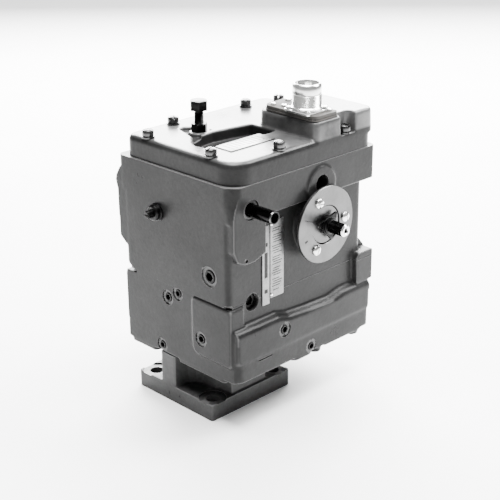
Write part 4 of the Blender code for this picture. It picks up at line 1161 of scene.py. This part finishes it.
def make_nameplates():
    """Blank rating plates with embossed rules, fields and rivets, and no lettering."""
    face = PANEL_X
    y_low, y_high = SIDE_PLATE_LOW.y, SIDE_PLATE_HIGH.y
    z_low, z_high = SIDE_PLATE_LOW.z, SIDE_PLATE_HIGH.z
    split = y_low + 9.5
    bm = solid(prism, rounded(y_low, z_low, split, z_high - 3, 0.6, 3), face + 0.1, face + 1.0, "X")
    piece("rating_strip", bm, PLATE, bevel=0.15, replaced=("side_nameplate",))
    bm = solid(prism, rounded(split + 1.2, z_low + 5, y_high, z_high, 0.6, 3), face + 0.1, face + 1.0, "X")
    piece("rating_plate", bm, PLATE, bevel=0.15)
    number = 0
    for low, high in ((150, 176), (182, 186), (134, 138)):
        number += 1
        bm = solid(
            prism, rounded(y_low + 2.6, low, split - 2.6, high, 0.4, 2), face + 0.9, face + 1.06, "X"
        )
        piece(f"rating_field_{number}", bm, FIELD)
    z = z_low + 12
    while z < z_high - 8:
        number += 1
        gap = 2.4 if number % 4 else 4.2
        bm = bmesh.new()
        start = split + 3.4 + (number * 7 % 5) * 0.5
        end = y_high - 2.4 - (number * 5 % 7) * 0.7
        prism(bm, [(start, z), (end, z), (end, z + 0.9), (start, z + 0.9)], face + 0.9, face + 1.05, "X")
        piece(f"rating_rule_{number}", bm, FIELD)
        z += gap
    for number, z in enumerate((z_low + 8.5, z_high - 3), 1):
        bm = solid(
            turned,
            [(0, face + 0.8), (1.7, face + 0.8), (1.6, face + 1.5), (0.9, face + 2.1), (0, face + 2.2)],
            "X", (split + 2.6, z), 24
        )
        piece(f"rating_rivet_{number}", bm, NICKEL)
    low, high = TOP_PLATE_LOW, TOP_PLATE_HIGH
    bm = solid(prism, rounded(low.x, low.y, high.x, high.y, 1.2, 4), COVER_TOP + 0.1, COVER_TOP + 0.9)
    piece("cover_plate", bm, PLATE, bevel=0.15, replaced=("cover_nameplate",))
    for number in range(9):
        y = low.y + 6 + number * 5.4
        bm = solid(
            prism,
            [
                (low.x + 3, y), (high.x - 3 - (number * 5 % 4), y),
                (high.x - 3 - (number * 5 % 4), y + 1.1), (low.x + 3, y + 1.1)
            ],
            COVER_TOP + 0.85, COVER_TOP + 0.95
        )
        piece(f"cover_plate_rule_{number + 1}", bm, FIELD)


def coil(bm, radius, wire, low, high, turns, centre, start):
    """Add round wire wound upwards between two heights of its middle line."""
    steps, sides = 24, 10
    count = round(turns * steps)
    rings = []
    for i in range(count + 1):
        a = start + 2 * math.pi * i / steps
        z = low + (high - low) * i / count
        ring = []
        for k in range(sides):
            b = 2 * math.pi * k / sides
            r = radius + wire * math.cos(b)
            x, y = centre[0] + r * math.cos(a), centre[1] + r * math.sin(a)
            ring.append(bm.verts.new((x, y, z + wire * math.sin(b))))
        rings.append(ring)
    bm.faces.new(rings[0])
    bm.faces.new(rings[-1])
    for first, second in zip(rings, rings[1:]):
        for k in range(sides):
            m = (k + 1) % sides
            bm.faces.new((first[k], first[m], second[m], second[k]))


def wound(name, node, wire, turns, share):
    """A share of a spring's coil: (share from, share to) of its height."""
    low, high = node_box(node)
    centre = ((low.x + high.x) / 2, (low.y + high.y) / 2)
    bottom, top = low.z + wire, high.z - wire
    ends = [bottom + part * (top - bottom) for part in share]
    bm = bmesh.new()
    radius = (high.x - low.x) / 2 - wire
    coil(bm, radius, wire, *ends, turns * (share[1] - share[0]), centre, 2 * math.pi * turns * share[0])
    made = raw_object(name, bm)
    made.data.materials.append(OXIDE)
    made.data.shade_smooth()
    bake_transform(made)
    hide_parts(node)


def make_springs():
    """Coil springs in the places of the frame's springs."""
    wound("power_spring_coil", "power_spring", 1.8, 4, (0, 1))
    wound("accumulator_coil_1", "accumulator_spring_1", 1.6, 4, (0, 1))
    wound("accumulator_coil_2", "accumulator_spring_2", 1.6, 4, (0, 1))
    wound("speeder_coil_lower", "speeder_spring", 1.3, 5, (0, 0.5))
    wound("speeder_coil_upper", "speeder_spring", 1.3, 5, (0.5, 1))


def refinish():
    """Better materials on the CAD nodes that stay as they are."""
    finishes = {
        "dark_steel": OXIDE, "steel": STEEL, "bright_metal": NICKEL, "scale_metal": DISC,
        "plate_metal": PLATE,
        "bronze": BRONZE, "seal_rubber": RUBBER, "winding": COPPER, "sight_glass": GLASS, "insert": INSERT,
        "gasket": GASKET, "case_paint": PAINT,
    }
    slots = {part["node"]: part["material_slot"] for part in frame["record"]["subparts"]}
    for name, node in frame["nodes"].items():
        finish = finishes[slots[name]]
        for index in range(len(node.material_slots)):
            node.material_slots[index].material = finish


# Studio

FOCAL_MM = 85.5
CAMERA_AZIMUTH = math.radians(45.338)
CAMERA_ELEVATION = math.radians(22.165)
CAMERA_ROLL = math.radians(-0.38)
CAMERA_BACK = 1250.7
CAMERA_RIGHT = 37.08
CAMERA_UP = 140.87


def make_camera():
    """The view from the front right, slightly above."""
    a, e = CAMERA_AZIMUTH, CAMERA_ELEVATION
    back = Vector((math.sin(a) * math.cos(e), -math.cos(a) * math.cos(e), math.sin(e)))
    right = Vector((math.cos(a), math.sin(a), 0))
    up = back.cross(right)
    turned_right = math.cos(CAMERA_ROLL) * right + math.sin(CAMERA_ROLL) * up
    turned_up = -math.sin(CAMERA_ROLL) * right + math.cos(CAMERA_ROLL) * up
    data = bpy.data.cameras.new("camera")
    data.lens = FOCAL_MM
    data.sensor_width = 36
    data.clip_start = 0.05
    data.clip_end = 50
    made = bpy.data.objects.new("camera", data)
    bpy.context.scene.collection.objects.link(made)
    place = ORIGIN + (back * CAMERA_BACK + turned_right * CAMERA_RIGHT + turned_up * CAMERA_UP) * MM
    axes = Matrix((turned_right, turned_up, back)).transposed().to_4x4()
    made.matrix_world = Matrix.Translation(place) @ axes
    bpy.context.scene.camera = made


def area_light(name, place, target, size, power):
    """A soft square light aimed at a point, in metres."""
    data = bpy.data.lights.new(name, "AREA")
    data.shape = "RECTANGLE"
    data.size, data.size_y = size
    data.energy = power
    made = bpy.data.objects.new(name, data)
    bpy.context.scene.collection.objects.link(made)
    made.location = place
    made.rotation_euler = (Vector(target) - Vector(place)).to_track_quat("-Z", "Y").to_euler()


def make_studio():
    """A pale floor, a white surround and soft lights, the strongest overhead and behind."""
    bm = bmesh.new()
    bmesh.ops.create_grid(bm, x_segments=1, y_segments=1, size=FLOOR_HALF)
    floor = raw_object("studio_floor", bm)
    made, tree, shader = new_material("pale_floor", (0.86, 0.86, 0.86), 0.7)
    grain = noise(tree, object_coordinates(tree), 6, 3)
    tree.links.new(
        ramp(tree, grain, ((0.3, (0.84, 0.84, 0.84)), (0.7, (0.87, 0.87, 0.87)))),
        shader.inputs["Base Color"]
    )
    floor.data.materials.append(made)
    world = bpy.data.worlds.new("surround")
    bpy.context.scene.world = world
    world.use_nodes = True
    background = world.node_tree.nodes["Background"]
    background.inputs["Color"].default_value = (1, 1, 1, 1)
    background.inputs["Strength"].default_value = SURROUND_STRENGTH
    for light in LIGHTS:
        area_light(*light)


make_camera()
refinish()
make_base()
make_lower_case()
make_upper_case()
make_cover()
make_connector_plate()
for index, screw in enumerate(COVER_SCREWS, 1):
    lock_screw(index, *screw)
make_plugs()
make_needle_valve()
make_speed_screw()
make_output()
make_limit_shaft()
make_connector()
make_nameplates()
make_springs()
make_studio()
